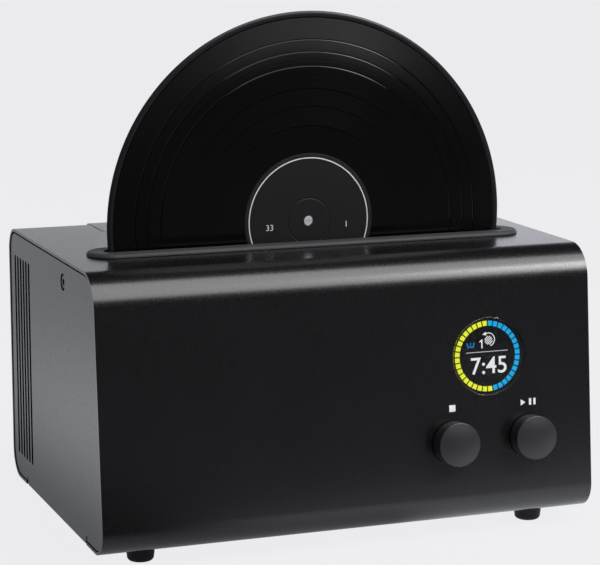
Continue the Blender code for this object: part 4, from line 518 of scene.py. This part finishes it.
# The wrapped sheet, folded round the front, the top and the rear
CORNERS = [(0, 0), (BODY_DEPTH, 0), (BODY_DEPTH, BODY_HEIGHT), (FRONT_SETBACK, BODY_HEIGHT)]
CORNER_RADII = [0.019, 0.020, 0.018, 0.025]
FRONT_LIP = 0.044
REAR_LIP = 0.0413
PANEL_INNER_X = HALF_WIDTH - SIDE_INSET - SHEET
SLOT_HALF_LENGTH = 0.153
SLOT_HALF_WIDTH = 0.0060
COLLAR_WALL = 0.0055
TANK_LEFT = 0.0590 - HALF_WIDTH
TANK_RIGHT = TANK_LEFT + 0.200
TANK_FRONT = BODY_DEPTH - 0.0560
TANK_REAR_DROP = 0.0220
TANK_CLEARANCE = 0.0006
DISPLAY_RADIUS = 0.0280
INLET_X = 0.135
INLET_HEIGHT = 0.066
SWITCH_HEIGHT = 0.098
INLET_SIZE = (0.0275, 0.0200)
SWITCH_SIZE = (0.0180, 0.0280)
KNOB_PLACES = (("left", CONTROLS_X - KNOB_SPACING / 2), ("right", CONTROLS_X + KNOB_SPACING / 2))
FOOT_PLACES = {
    "foot_front_left": (-HALF_WIDTH + 0.0355, 0.0335),
    "foot_front_right": (HALF_WIDTH - 0.0355, 0.0335),
    "foot_rear_left": (-HALF_WIDTH + 0.0355, BODY_DEPTH - 0.0335),
    "foot_rear_right": (HALF_WIDTH - 0.0355, BODY_DEPTH - 0.0335),
}


def wrap_path(inset):
    front, rear, rear_top, front_top = shrunk(CORNERS, [inset] * 4)
    lips = [(FRONT_LIP, inset), (BODY_DEPTH - REAR_LIP, inset)]
    fillets = [radius - inset for radius in CORNER_RADII]
    radii = [0, fillets[0], fillets[3], fillets[2], fillets[1], 0]
    return rounded([lips[0], front, front_top, rear_top, rear, lips[1]], radii, cyclic=False)


def tank_plan(clearance, overrun):
    left, right = TANK_LEFT + clearance, TANK_RIGHT - clearance
    front, rear = TANK_FRONT + clearance, BODY_DEPTH + overrun
    corners = [(left, front), (right, front), (right, rear), (left, rear)]
    radius = 0.0060 - clearance
    return rounded(corners, [radius, radius, 0, 0], steps=10)


def make_casing():
    section = wrap_path(0) + list(reversed(wrap_path(SHEET)))
    skin = plate("casing_skin", [section], BODY_WIDTH, at(0, 0, 0), SIDE_ON)
    reach = SLOT_HALF_WIDTH + COLLAR_WALL + GAP
    slot = stadium(SLOT_HALF_LENGTH - SLOT_HALF_WIDTH + reach, reach)
    top = at(0, RECORD_SETBACK, BODY_HEIGHT)
    cut(skin, plate("slot_cut", [slot], 2 * OVERRUN, top, UPRIGHT))
    deep = TANK_REAR_DROP + OVERRUN
    middle = at(0, 0, BODY_HEIGHT + OVERRUN - deep / 2)
    cut(skin, plate("tank_cut", [tank_plan(0, OVERRUN)], deep, middle, UPRIGHT))
    start = on_front(CONTROLS_X, DISPLAY_HEIGHT, -SHEET - OVERRUN)
    through = SHEET + 2 * OVERRUN
    cut(skin, rod("display_cut", start, OUT_OF_FRONT, through, DISPLAY_RADIUS + GAP, 128))
    for side, x in KNOB_PLACES:
        start = on_front(x, KNOB_HEIGHT, -SHEET - OVERRUN)
        cut(skin, rod(side + "_shaft_cut", start, OUT_OF_FRONT, through, 0.0033, 32))
    low, high = BODY_DEPTH - SHEET - OVERRUN, BODY_DEPTH + OVERRUN
    for name, height, (wide, tall) in (
        ("inlet_cut", INLET_HEIGHT, INLET_SIZE),
        ("switch_cut", SWITCH_HEIGHT, SWITCH_SIZE),
    ):
        half_wide, half_tall = wide / 2 + GAP, tall / 2 + GAP
        corner = at(INLET_X - half_wide, low, height - half_tall)
        cut(skin, block(name, corner, at(INLET_X + half_wide, high, height + half_tall)))
    for name, (x, back) in FOOT_PLACES.items():
        cut(skin, rod(name + "_cut", at(x, back, -OVERRUN), UPRIGHT, SHEET + 2 * OVERRUN, 0.0028, 24))
    soften(skin, 0.00025)
    dress(skin, "casing", CASE, "case_sheet", "outer_shell")


def make_tray():
    width = BODY_WIDTH - 2 * SIDE_INSET
    seams = [SHEET + gap for gap in (0.0008, 0.0003, 0.0015, 0.0010)]
    outline = rounded(shrunk(CORNERS, seams), [radius - SHEET - 0.0009 for radius in CORNER_RADII])
    tray = plate("side_tray", [outline], width, at(0, 0, 0), SIDE_ON)
    front, rear = FRONT_LIP + SEAM, BODY_DEPTH - REAR_LIP - SEAM
    slab = block("base_slab", at(-width / 2, front, 0), at(width / 2, rear, SHEET + SEAM + OVERRUN))
    fuse(tray, slab)
    room_high = at(PANEL_INNER_X, BODY_DEPTH, BODY_HEIGHT)
    cut(tray, block("tray_room", at(-PANEL_INNER_X, -OVERRUN, SHEET), room_high))
    rear_relief = BODY_DEPTH - REAR_LIP - 0.0026
    for side in (-1, 1):
        near, far = sorted((side * (HALF_WIDTH - 0.0058), side * HALF_WIDTH))
        for back in (FRONT_LIP, rear_relief):
            low = at(near, back, -OVERRUN)
            cut(tray, block("relief", low, at(far, back + 0.0026, 0.0058)))
    bottom, top = 0.0187, 0.1725
    for k in range(6):
        back = BODY_DEPTH - 0.0171 - k * 0.0083
        half = (top - bottom) / 2
        slot = [(y, x) for x, y in stadium(half, 0.0024, 12)]
        cut(tray, plate(f"vent_cut_{k}", [slot], BODY_WIDTH, at(0, back, bottom + half), SIDE_ON))
    start = at(-HALF_WIDTH, RECORD_SETBACK, 0.1748)
    cut(tray, rod("side_screw_cut", start, ALONG_X, BODY_WIDTH, 0.0062, 48))
    soften(tray, 0.0002)
    dress(tray, "casing", SIDE, "side_sheet", "chassis")


def make_feet():
    profile = [(0, 0.0085), (0.0025, 0.0085), (0.0025, -GAP), (0.0097, -GAP), (0.0100, -0.0007)]
    profile += [(0.0097, -0.0060), (0.0094, -0.0078)]
    profile += arc(0.0064, -FOOT_HEIGHT + 0.0030, 0.0030, 0, -QUARTER, 6)
    profile += [(0.0058, -FOOT_HEIGHT), (0.0052, -FOOT_HEIGHT + 0.0006), (0, -FOOT_HEIGHT + 0.0006)]
    for name, (x, back) in FOOT_PLACES.items():
        foot = turned(name + "_pad", profile, at(x, back, 0), UPRIGHT, 64)
        dress(foot, "casing", RUBBER, "rubber", name)


def make_bezel():
    inner, outer = SLOT_HALF_WIDTH, SLOT_HALF_WIDTH + 0.0120
    collar, height = SLOT_HALF_WIDTH + COLLAR_WALL, 0.0030
    lip, shoulder = 0.0012, 0.0024
    section = arc(inner + lip, height - lip, lip, math.pi, QUARTER, 8)
    section += arc(outer - shoulder, height - shoulder, shoulder, QUARTER, 0, 10)
    section += [(outer, GAP), (collar, GAP), (collar, -SHEET - 0.0060), (inner, -SHEET - 0.0060)]
    form = bmesh.new()
    rows = []
    for radius, up in section:
        half_length = SLOT_HALF_LENGTH - SLOT_HALF_WIDTH + radius
        rows.append([form.verts.new((x, y, up)) for x, y in stadium(half_length, radius, 40)])
    for upper, lower in zip(rows, rows[1:] + rows[:1]):
        for k in range(len(upper)):
            n = (k + 1) % len(upper)
            form.faces.new([upper[k], lower[k], lower[n], upper[n]])
    place = Matrix.Translation(at(0, RECORD_SETBACK, BODY_HEIGHT))
    bezel = place_mesh("slot_rim", tidy(form, "slot_rim"), place)
    dress(bezel, "casing", TRIM, "trim", "slot_bezel")


# The record
def make_record():
    half, bead, edge = 0.0008, 0.00105, 0.1506
    side = [(0.0036, half - 0.0002), (0.0038, half), (0.0045, half), (0.0500, half)]
    for middle in TRACK_GAPS:
        dip = 0.00019 if middle > 0.1 else 0.00007
        side += [(middle - 0.00075, half), (middle - 0.00050, half), (middle - 0.00044, half - 0.15 * dip)]
        side += [(middle - 0.00014, half - dip), (middle + 0.00014, half - dip)]
        side += [(middle + 0.00044, half - 0.15 * dip), (middle + 0.00050, half), (middle + 0.00075, half)]
    side += [(0.1452, half), (0.1456, half), (0.1459, half - 0.00010), (0.1463, half - 0.00010)]
    side.append((0.1467, half + 0.00005))
    side += [(0.1473 + (edge - 0.1473) * across, bead * up) for across, up in arc(0, 0, 1, QUARTER, 0, 8)]
    profile = side[:-1] + [(edge, 0)] + [(radius, -height) for radius, height in reversed(side[:-1])]
    disc = turned("pressed_record", profile, RECORD_CENTRE, FACING_FRONT, 288, ring=True)
    dress(disc, "record", VINYL, "vinyl", "record_disc")
    low, high, hole = half + 0.00015, half + 0.00035, 0.0036
    paper = [(hole, low), (hole, high - 0.00006), (hole + 0.0003, high), (hole + 0.0008, high)]
    paper.append((0.0154, high))
    for k in range(9):
        share = k / 8
        dip = 0.00016 * math.sin(math.pi * share)
        paper.append((0.0159 + 0.0009 * share, high - dip))
    paper += [(0.0173, high), (0.0480, high), (0.0486, high), (0.0490, high - 0.00008), (0.0490, low)]
    for name, node, facing in (
        ("front_paper", "label_front", FACING_FRONT),
        ("back_paper", "label_back", FACING_REAR),
    ):
        sheet = turned(name, paper, RECORD_CENTRE, facing, 160, ring=True)
        dress(sheet, "record", LABEL, "label", node)
    for facing, away in ((FACING_FRONT, "front"), (FACING_REAR, "back")):
        y, size = -0.004, 0.0062
        for k, (words, x) in enumerate((("33", -0.030), ("1", 0.029))):
            mark = lettering(f"label_{away}_mark_{k}", words, size, 0.00004)
            turn = facing if away == "front" else READ_FROM_REAR
            mark.data.transform(Matrix.Translation(RECORD_CENTRE) @ turn @ Matrix.Translation((x, y, high)))
            dress(mark, "record", LABEL_PRINT, "label")


def lettering(name, words, size, thick, weight=0.0):
    """Plain figures standing on local Z, centred on the origin."""
    text = bpy.data.curves.new(name + "_text", "FONT")
    text.body = words
    text.size = size
    text.align_x, text.align_y = "CENTER", "CENTER"
    text.extrude = thick / 2
    text.offset = weight
    text.resolution_u = 6
    made = from_curve(name, text, Matrix.Translation((0, 0, thick / 2)))
    made.data.shade_flat()
    return made


# The round display and the marks beside it
GLASS_BACK = 0.0020
PANEL_FACE = -GLASS_BACK - GAP
PANEL_BACK = -(SHEET + GAP + 0.0085 + GAP) + GAP


def on_display(x, up):
    """A turn and place on the front from a distance right of and above the display's centre."""
    return Matrix.Translation(on_front(CONTROLS_X - 0.0007 + x, DISPLAY_HEIGHT + up)) @ OUT_OF_FRONT


def lit(name, piece_loops, x, up, finish, low=PANEL_FACE, thick=0.0001):
    piece = plate(name, piece_loops, thick, (0, 0, low + thick / 2), UPRIGHT)
    piece.data.transform(on_display(x, up))
    piece.data.shade_flat()
    return dress(piece, "casing", finish, "screen")


def make_display():
    edge, proud, radius = 0.0007, 0.0004, DISPLAY_RADIUS
    profile = [(0, proud)]
    profile += arc(radius - edge, proud - edge, edge, QUARTER, 0, 5)
    profile += [(radius, -GLASS_BACK), (0, -GLASS_BACK)]
    place = on_front(CONTROLS_X, DISPLAY_HEIGHT)
    glass = turned("window_glass", profile, place, OUT_OF_FRONT, 160)
    dress(glass, "casing", GLASS, "display_glass", "display_glass")
    profile = [(0, PANEL_FACE), (0.0260, PANEL_FACE), (0.0261, PANEL_FACE - 0.0001)]
    profile += [(0.0261, PANEL_BACK), (0, PANEL_BACK)]
    screen = turned("round_screen", profile, place, OUT_OF_FRONT, 96)
    dress(screen, "casing", SCREEN, "screen", "display_screen")
    inner, outer, pitch = 0.0216, 0.0252, math.radians(10)
    for k in range(36):
        middle = QUARTER + math.radians(4) - k * pitch
        half = pitch / 2 - math.radians(1.1)
        loop = arc(0, 0, outer, middle - half, middle + half, 5)
        loop += arc(0, 0, inner, middle + half, middle - half, 5)
        lit(f"ring_segment_{k + 1}", [loop], 0, 0, BLUE if 0 < k < 18 else YELLOW)
    line = [(-0.0165, -0.00026), (0.0160, -0.00026), (0.0160, 0.00026), (-0.0165, 0.00026)]
    lit("screen_line", [line], 0, 0.0032, GREY)
    figures = lettering("screen_time", "7:45", 0.0170, 0.0001, 0.00010)
    figures.data.transform(on_display(0.0011, -0.0073) @ Matrix.Translation((0, 0, PANEL_FACE)))
    dress(figures, "casing", WHITE, "screen")
    one = [(0.0003, -0.0031), (0.0012, -0.0031), (0.0012, 0.0031), (0.0004, 0.0031)]
    one += [(-0.0011, 0.0018), (-0.0011, 0.0010), (0.0003, 0.0018)]
    lit("screen_count", [one], -0.0048, 0.0089, WHITE)
    start, end = math.radians(118), math.radians(-72)
    swept = arc(0, 0, 0.0050, start, end, 20) + arc(0, 0, 0.0044, end, start, 20)
    lit("turn_arrow", [swept], 0.0011, 0.0117, WHITE)
    head = [(-0.0020, 0.0057), (-0.0046, 0.0038), (-0.0016, 0.0029)]
    lit("turn_arrow_head", [head], 0.0011, 0.0117, WHITE)
    half_wide, slanted = 0.00033, 0.7071
    for k in range(5):
        off = (k - 2) * 0.00125
        half = math.sqrt(0.0031 ** 2 - off ** 2)
        under, over = off - half_wide, off + half_wide
        bar = [(-half, under), (half, under), (half, over), (-half, over)]
        bar = [((x - y) * slanted, (x + y) * slanted) for x, y in bar]
        lit(f"disc_stripe_{k + 1}", [bar], 0.0012, 0.0112, WHITE)
    tub = [(-0.0033, 0.0022), (-0.0024, -0.0014), (0.0024, -0.0014), (0.0033, 0.0022), (0.0023, 0.0022)]
    tub += [(0.0017, -0.0004), (-0.0017, -0.0004), (-0.0023, 0.0022)]
    lit("tub_mark", [tub], -0.0129, 0.0081, DIM_BLUE)
    drop = [(-0.0004, -0.0002), (0.0004, -0.0002), (0.0004, 0.0022), (-0.0004, 0.0022)]
    lit("tub_drop", [drop], -0.0129, 0.0081, DIM_BLUE)


def make_front_print():
    def printed(name, loops, x, height):
        mark = plate(name, loops, 0.00006, (0, 0, 0.00002), UPRIGHT)
        mark.data.transform(Matrix.Translation(on_front(x, height)) @ OUT_OF_FRONT)
        mark.data.shade_flat()
        dress(mark, "casing", PRINT, "trim")

    square = [(-0.0024, -0.0024), (0.0024, -0.0024), (0.0024, 0.0024), (-0.0024, 0.0024)]
    printed("print_stop", [square], 0.0746, 0.0834)
    printed("print_play", [[(-0.0019, -0.0023), (0.0019, 0), (-0.0019, 0.0023)]], 0.1299, 0.0834)
    bar = [(-0.0009, -0.0024), (0.0009, -0.0024), (0.0009, 0.0024), (-0.0009, 0.0024)]
    printed("print_pause_1", [bar], 0.1355, 0.0835)
    printed("print_pause_2", [bar], 0.1390, 0.0835)


def make_knobs():
    radius, back, face, dome = 0.0155, 0.0015, 0.0150, 0.0018
    edge, wall = 0.0006, 0.0025
    profile = []
    for k in range(9):
        share = k / 8
        profile.append(((radius - edge) * share, face - dome * share * share))
    for k in range(1, 6):
        angle = QUARTER * k / 5
        profile.append((radius - edge + edge * math.sin(angle), face - dome - 0.0005 * (1 - math.cos(angle))))
    profile += [(radius, back + 0.0003), (radius - 0.0003, back)]
    profile += [(radius - wall, back), (radius - wall, 0.0095)]
    profile += [(0.0060, 0.0095), (0.0060, back), (0.0031, back), (0.0031, 0.0115), (0, 0.0115)]
    for side, x in KNOB_PLACES:
        cap = turned(side + "_cap", profile, on_front(x, KNOB_HEIGHT), OUT_OF_FRONT, 128)
        dress(cap, side + "_turn", KNOB, "knob", side + "_knob")


def make_side_screws():
    face = HALF_WIDTH - SIDE_INSET - 0.0005
    seat = face - 0.0045
    head = [(0, face), (0.0046, face), (0.0050, face - 0.0004), (0.0050, seat)]
    head += [(0.0025, seat), (0.0025, seat - 0.0120), (0, seat - 0.0120)]
    middle = at(0, RECORD_SETBACK, 0.1748)
    for side, name, outwards in ((-1, "left", ALONG_MINUS_X), (1, "right", ALONG_X)):
        screw = turned(name + "_socket_screw", head, middle, outwards, 64)
        start = middle + Vector((side * (face - 0.0028), 0, 0))
        cut(screw, rod("socket", start, outwards, 0.0078, 0.0025, 6))
        soften(screw, 0.0001, 2)
        dress(screw, "casing", DARK_STEEL, "steel", "side_screw_" + name)


# The tank's lid and its bail
TANK_X = (TANK_LEFT + TANK_RIGHT) / 2
TANK_LENGTH = 0.194
TANK_DEPTH = 0.050
TANK_Y = BODY_DEPTH - SHEET - TANK_CLEARANCE - TANK_DEPTH / 2
POCKET_LENGTH = 0.112
POCKET_DEPTH = 0.027
TANK_RIM = BODY_HEIGHT - 0.0060 - GAP


def tank_block(name, wall, low, high):
    half_x, half_y = TANK_LENGTH / 2 - wall, TANK_DEPTH / 2 - wall
    corners = [(-half_x, -half_y), (half_x, -half_y), (half_x, half_y), (-half_x, half_y)]
    centre = at(TANK_X, TANK_Y, (low + high) / 2)
    return plate(name, [rounded(corners, [0.0060 - wall] * 4, steps=8)], high - low, centre, UPRIGHT)


def make_lid():
    front, top = TANK_FRONT + TANK_CLEARANCE, BODY_HEIGHT
    under, inside = top - 0.0060, BODY_DEPTH - 0.0022
    low = top - TANK_REAR_DROP + TANK_CLEARANCE
    corners = [(front, under), (inside, under), (inside, low), (BODY_DEPTH, low)]
    corners += [(BODY_DEPTH, top), (front, top)]
    seen_gap = 0.0011
    lid = plate("lid_cap", [rounded(corners, [0, 0, 0, 0, 0.0100, 0])], BODY_WIDTH, at(0, 0, 0), SIDE_ON)
    plan = plate("lid_plan", [tank_plan(seen_gap, OVERRUN)], BODY_HEIGHT, at(0, 0, top), UPRIGHT)
    combine(lid, "INTERSECT", plan)
    half, half_deep = POCKET_LENGTH / 2, POCKET_DEPTH / 2
    corners = [(-half, -half_deep), (half, -half_deep), (half, half_deep), (-half, half_deep)]
    middle = at(TANK_X, TANK_Y, top - 0.0046 + 0.010)
    cut(lid, plate("lid_pocket", [rounded(corners, [0.003] * 4, steps=8)], 0.020, middle, UPRIGHT))
    wall, plug_low = 0.0025 + GAP, TANK_RIM - 0.0050
    plug = tank_block("lid_plug", wall, plug_low, under + GAP)
    cut(plug, tank_block("plug_room", wall + 0.0016, plug_low - OVERRUN, under + 2 * GAP))
    fuse(lid, plug)
    pivot = at(TANK_X, TANK_Y + half_deep - 0.0036, BODY_HEIGHT - 0.0023)
    reach = half + 0.0030 + GAP
    start = pivot - Vector((reach, 0, 0))
    cut(lid, rod("handle_holes", start, ALONG_X, 2 * reach, 0.0017, 24))
    soften(lid, 0.0003)
    dress(lid, "lid", LID, "lid", "tank_lid")
    tip, half, reach = POCKET_LENGTH / 2 + 0.0030, 0.104 / 2, -0.0200
    corners = [(-tip, 0, 0), (-half, 0, 0), (-half, reach, 0), (half, reach, 0), (half, 0, 0), (tip, 0, 0)]
    points = rounded(corners, [0, 0.0020, 0.0040, 0.0040, 0.0020, 0], cyclic=False, steps=10)
    bail = tube("bent_bail", [pivot + point for point in points], 0.0014)
    dress(bail, "lid_handle", STEEL, "steel", "tank_handle")


# Mains inlet and switch
def rear_block(name, x, height, half_wide, half_tall, front, rear):
    low = at(x - half_wide, front, height - half_tall)
    return block(name, low, at(x + half_wide, rear, height + half_tall))


def make_rear():
    face = BODY_DEPTH + GAP + 0.0020
    half_wide, half_tall = INLET_SIZE[0] / 2, INLET_SIZE[1] / 2
    flange_wide, flange_tall = half_wide + 0.0110, half_tall + 0.0020
    inlet = rear_block("inlet_shell", INLET_X, INLET_HEIGHT, flange_wide, flange_tall, BODY_DEPTH + GAP, face)
    fuse(inlet, rear_block("body", INLET_X, INLET_HEIGHT, half_wide, half_tall, BODY_DEPTH - 0.0240, face))
    floor = face - 0.0160
    wide, tall, shoulder = 0.01205, 0.0083, 0.0030
    outline = [(-wide, -tall), (wide, -tall), (wide, shoulder)]
    outline += [(0.0070, tall), (-0.0070, tall), (-wide, shoulder)]
    room = plate("room", [rounded(outline, [0.001] * 6, steps=4)], 0.030, (0, 0, 0), UPRIGHT)
    room.data.transform(Matrix.Translation(at(INLET_X, floor + 0.015, INLET_HEIGHT)) @ READ_FROM_REAR)
    cut(inlet, room)
    for side in (-1, 1):
        x = INLET_X + side * (half_wide + 0.0055)
        cut(inlet, rod("screw_hole", at(x, BODY_DEPTH - 0.01, INLET_HEIGHT), FACING_REAR, 0.03, 0.0019, 32))
    soften(inlet, 0.0003)
    dress(inlet, "casing", PLASTIC, "plastic", "mains_inlet")
    profile = [(0, 0.0009), (0.0012, 0.0009), (0.0027, 0.0004)]
    profile += [(0.0030, 0.0), (0.0018, -0.0012), (0, -0.0012)]
    for side, name in ((-1, "inlet_screw_right"), (1, "inlet_screw_left")):
        x = INLET_X + side * (half_wide + 0.0055)
        head = turned(name, profile, at(x, face - 0.0009, INLET_HEIGHT), FACING_REAR, 48)
        for wide, tall in ((0.0018, 0.0003), (0.0003, 0.0018)):
            cut(head, rear_block("groove", x, INLET_HEIGHT, wide, tall, face - 0.0004, face + 0.001))
        dress(head, "casing", STEEL, "plastic")
    for k, (x, up) in enumerate(((-0.0070, -0.0020), (0.0070, -0.0020), (0, 0.0020))):
        place = (INLET_X + x, INLET_HEIGHT + up)
        pin = rear_block(f"inlet_blade_{k + 1}", *place, 0.0010, 0.0019, floor, floor + 0.0130)
        soften(pin, 0.0004)
        dress(pin, "casing", BRASS, "plastic")
    half_wide, half_tall = SWITCH_SIZE[0] / 2, SWITCH_SIZE[1] / 2
    flange_wide, flange_tall = half_wide + 0.0020, half_tall + 0.0020
    flange = (flange_wide, flange_tall, BODY_DEPTH + GAP, face)
    housing = rear_block("switch_frame", INLET_X, SWITCH_HEIGHT, *flange)
    fuse(housing, rear_block("body", INLET_X, SWITCH_HEIGHT, half_wide, half_tall, BODY_DEPTH - 0.0150, face))
    cut(housing, rear_block("pocket", INLET_X, SWITCH_HEIGHT, 0.0064, 0.0103, face - 0.0085, face + OVERRUN))
    pivot = at(INLET_X, BODY_DEPTH - 0.0015, SWITCH_HEIGHT)
    cut(housing, rod("rocker_holes", pivot - Vector((0.0074, 0, 0)), ALONG_X, 0.0148, 0.0014, 24))
    soften(housing, 0.0004)
    dress(housing, "casing", PLASTIC, "plastic", "switch_housing")
    half_thick = 0.0020
    section = [(0.0100, -half_thick), (0.0100, half_thick)]
    for k in range(1, 12):
        share = k / 12
        section.append((0.0100 - 0.0200 * share, half_thick - 0.0009 * math.sin(math.pi * share)))
    section += [(-0.0100, half_thick), (-0.0100, -half_thick)]
    rocker = plate("rocker_cap", [[(b, a) for a, b in section]], 0.0122, (0, 0, 0), SIDE_ON)
    fuse(rocker, rod("pin", (-0.0071, 0, 0), ALONG_X, 0.0142, 0.0011, 24))
    rocker.data.transform(Matrix.Translation(pivot) @ Matrix.Rotation(-math.radians(8), 4, "X"))
    soften(rocker, 0.0003)
    dress(rocker, "power_rocker", PLASTIC, "plastic", "switch_rocker")


make_casing()
make_tray()
make_feet()
make_bezel()
make_record()
make_display()
make_front_print()
make_knobs()
make_side_screws()
make_lid()
make_rear()

# Materials of the nodes that keep the CAD's own shape
FINISHES = {
    "case_sheet": CASE,
    "side_sheet": SIDE,
    "trim": TRIM,
    "rubber": RUBBER,
    "plastic": PLASTIC,
    "knob": KNOB,
    "vinyl": VINYL,
    "label": LABEL,
    "display_glass": GLASS,
    "screen": SCREEN,
    "steel": STEEL,
    "bath": BATH,
    "aluminium": CAST,
    "board": BOARD,
    "tank": TANK,
    "lid": LID,
    "sponge": FOAM,
    "hose": HOSE,
}
NODE_SLOTS = {part["node"]: part["material_slot"] for part in frame["record"]["subparts"]}
for name, node in frame["nodes"].items():
    finish = FINISHES.get(NODE_SLOTS.get(name), PLASTIC)
    for holder in node.material_slots:
        holder.material = finish
    if not node.material_slots:
        node.data.materials.append(finish)


# The set: a pale floor and backdrop, a soft lamp overhead, and a dark room on the camera's side
def mirrored_level(tree, place):
    """How bright a reflection shows the floor, with painted shade in the floor's glow: dark far in front and
    at the front left, dimmer far behind, and dark close to the left as a painted shadow of the object.
    """
    spot = add_node(tree, "ShaderNodeSeparateXYZ")
    feed(tree, place, spot.inputs[0])
    across, away = spot.outputs["X"], spot.outputs["Y"]
    slant = maths(tree, "MULTIPLY_ADD", across, 0.3, away)
    right_of_edge = ramp(tree, across, -0.14, -0.01, 0.08, 1.0)
    in_front = maths(tree, "MULTIPLY", ramp(tree, slant, -0.40, -0.10, 0.12, 1.0), right_of_edge)
    leftwards = ramp(tree, across, -0.31, -0.20, 1.20, 0.35)
    beside = maths(tree, "MAXIMUM", leftwards, ramp(tree, across, 0.0, 0.1))
    behind = maths(tree, "MULTIPLY", beside, ramp(tree, away, 0.15, 0.90, 1.30, 0.62))
    level = add_node(tree, "ShaderNodeMix", data_type="FLOAT")
    for name, source in (("Factor", ramp(tree, away, -0.20, -0.10)), ("A", in_front), ("B", behind)):
        feed(tree, source, level.inputs[name])
    return level.outputs[0]


def make_floor():
    form = bmesh.new()
    bmesh.ops.create_grid(form, x_segments=1, y_segments=1, size=30.0)
    mesh = bpy.data.meshes.new("floor")
    form.to_mesh(mesh)
    form.free()
    floor = bpy.data.objects.new("floor", mesh)
    bpy.context.scene.collection.objects.link(floor)
    made, tree, shader = new_material("pale_floor")
    place = add_node(tree, "ShaderNodeTexCoord").outputs["Object"]
    mottle = noise(tree, place, 3.0, 2.0).outputs["Fac"]
    feed(tree, mixed(tree, mottle, (0.80, 0.80, 0.81), (0.82, 0.82, 0.83)), shader.inputs["Base Color"])
    shader.inputs["Roughness"].default_value = 0.9
    shader.inputs["Specular IOR Level"].default_value = 0.1
    rays = add_node(tree, "ShaderNodeLightPath")
    seen = maths(tree, "MAXIMUM", rays.outputs["Is Camera Ray"], rays.outputs["Is Transmission Ray"])
    backdrop = glowing(tree, (0.868, 0.868, 0.886), 1.0)
    pale = blended(tree, maths(tree, "MULTIPLY", seen, 0.95), shader.outputs[0], backdrop)
    level = mirrored_level(tree, place)
    share = ramp(tree, level, 0, 1, 1.0, 0.70, "LINEAR")
    glossy = maths(tree, "MULTIPLY", rays.outputs["Is Glossy Ray"], share)
    # Painted shade: reflections see the floor glowing at this painted level, not at the light the lamps put
    # on it.
    made_of = blended(tree, glossy, pale, glowing(tree, (0.91, 0.93, 1.0), level))
    feed(tree, made_of, tree.nodes["Material Output"].inputs["Surface"])
    mesh.materials.append(made)
    return floor


def make_lamp(name, where, target, wide, tall, power, colour=(1, 1, 1)):
    data = bpy.data.lights.new(name, "AREA")
    data.shape = "RECTANGLE"
    data.size, data.size_y = wide, tall
    data.energy = power
    data.color = colour
    lamp = bpy.data.objects.new(name, data)
    bpy.context.scene.collection.objects.link(lamp)
    lamp.location = where
    lamp.rotation_euler = (Vector(target) - Vector(where)).to_track_quat("-Z", "Y").to_euler()
    return lamp


def make_world():
    world = bpy.data.worlds.new("room")
    bpy.context.scene.world = world
    world.use_nodes = True
    tree = world.node_tree
    tree.nodes.clear()
    parts = add_node(tree, "ShaderNodeSeparateXYZ")
    feed(tree, add_node(tree, "ShaderNodeTexCoord").outputs["Generated"], parts.inputs[0])
    low = ramp(tree, parts.outputs["Z"], 0.52, 0.28)
    pale = maths(tree, "MULTIPLY", ramp(tree, parts.outputs["Y"], -0.15, 0.35), low)
    brightest = ramp(tree, parts.outputs["X"], 0.20, 0.46, 0.72, 1.35)
    level = ramp(tree, pale, 0, 1, 0.03, brightest, "LINEAR")
    sky = glowing(tree, (0.92, 0.94, 1.0), level, "ShaderNodeBackground")
    plain = glowing(tree, (0.830, 0.830, 0.842), 1.0, "ShaderNodeBackground")
    rays = add_node(tree, "ShaderNodeLightPath")
    picked = blended(tree, rays.outputs["Is Camera Ray"], sky, plain)
    feed(tree, picked, add_node(tree, "ShaderNodeOutputWorld").inputs["Surface"])


floor = make_floor()
make_world()
middle = at(0, BODY_DEPTH / 2, BODY_HEIGHT / 2)
overhead = middle + Vector((0.72, -1.09, 1.556))
softbox = make_lamp("overhead_softbox", overhead, middle, 1.70, 1.85, 37.0)
softbox.rotation_euler = (math.radians(35), 0, 0)
make_lamp("left_fill", middle + Vector((-2.2, 0.2, 1.0)), middle, 1.4, 1.2, 4.0)
make_lamp("right_key", middle + Vector((1.5, -1.5, 1.6)), middle, 0.8, 0.8, 20.0)

camera_data = bpy.data.cameras.new("camera")
camera_data.lens = 135.0
camera_data.sensor_width = 36.0
camera_data.clip_end = 200.0
camera = bpy.data.objects.new("camera", camera_data)
bpy.context.scene.collection.objects.link(camera)
camera.location = (-0.57043, -1.52902, 0.46044)
camera.rotation_euler = (QUARTER - 0.17616865, 0.0, -0.35903984)
bpy.context.scene.camera = camera
bpy.context.scene.view_settings.view_transform = "Standard"
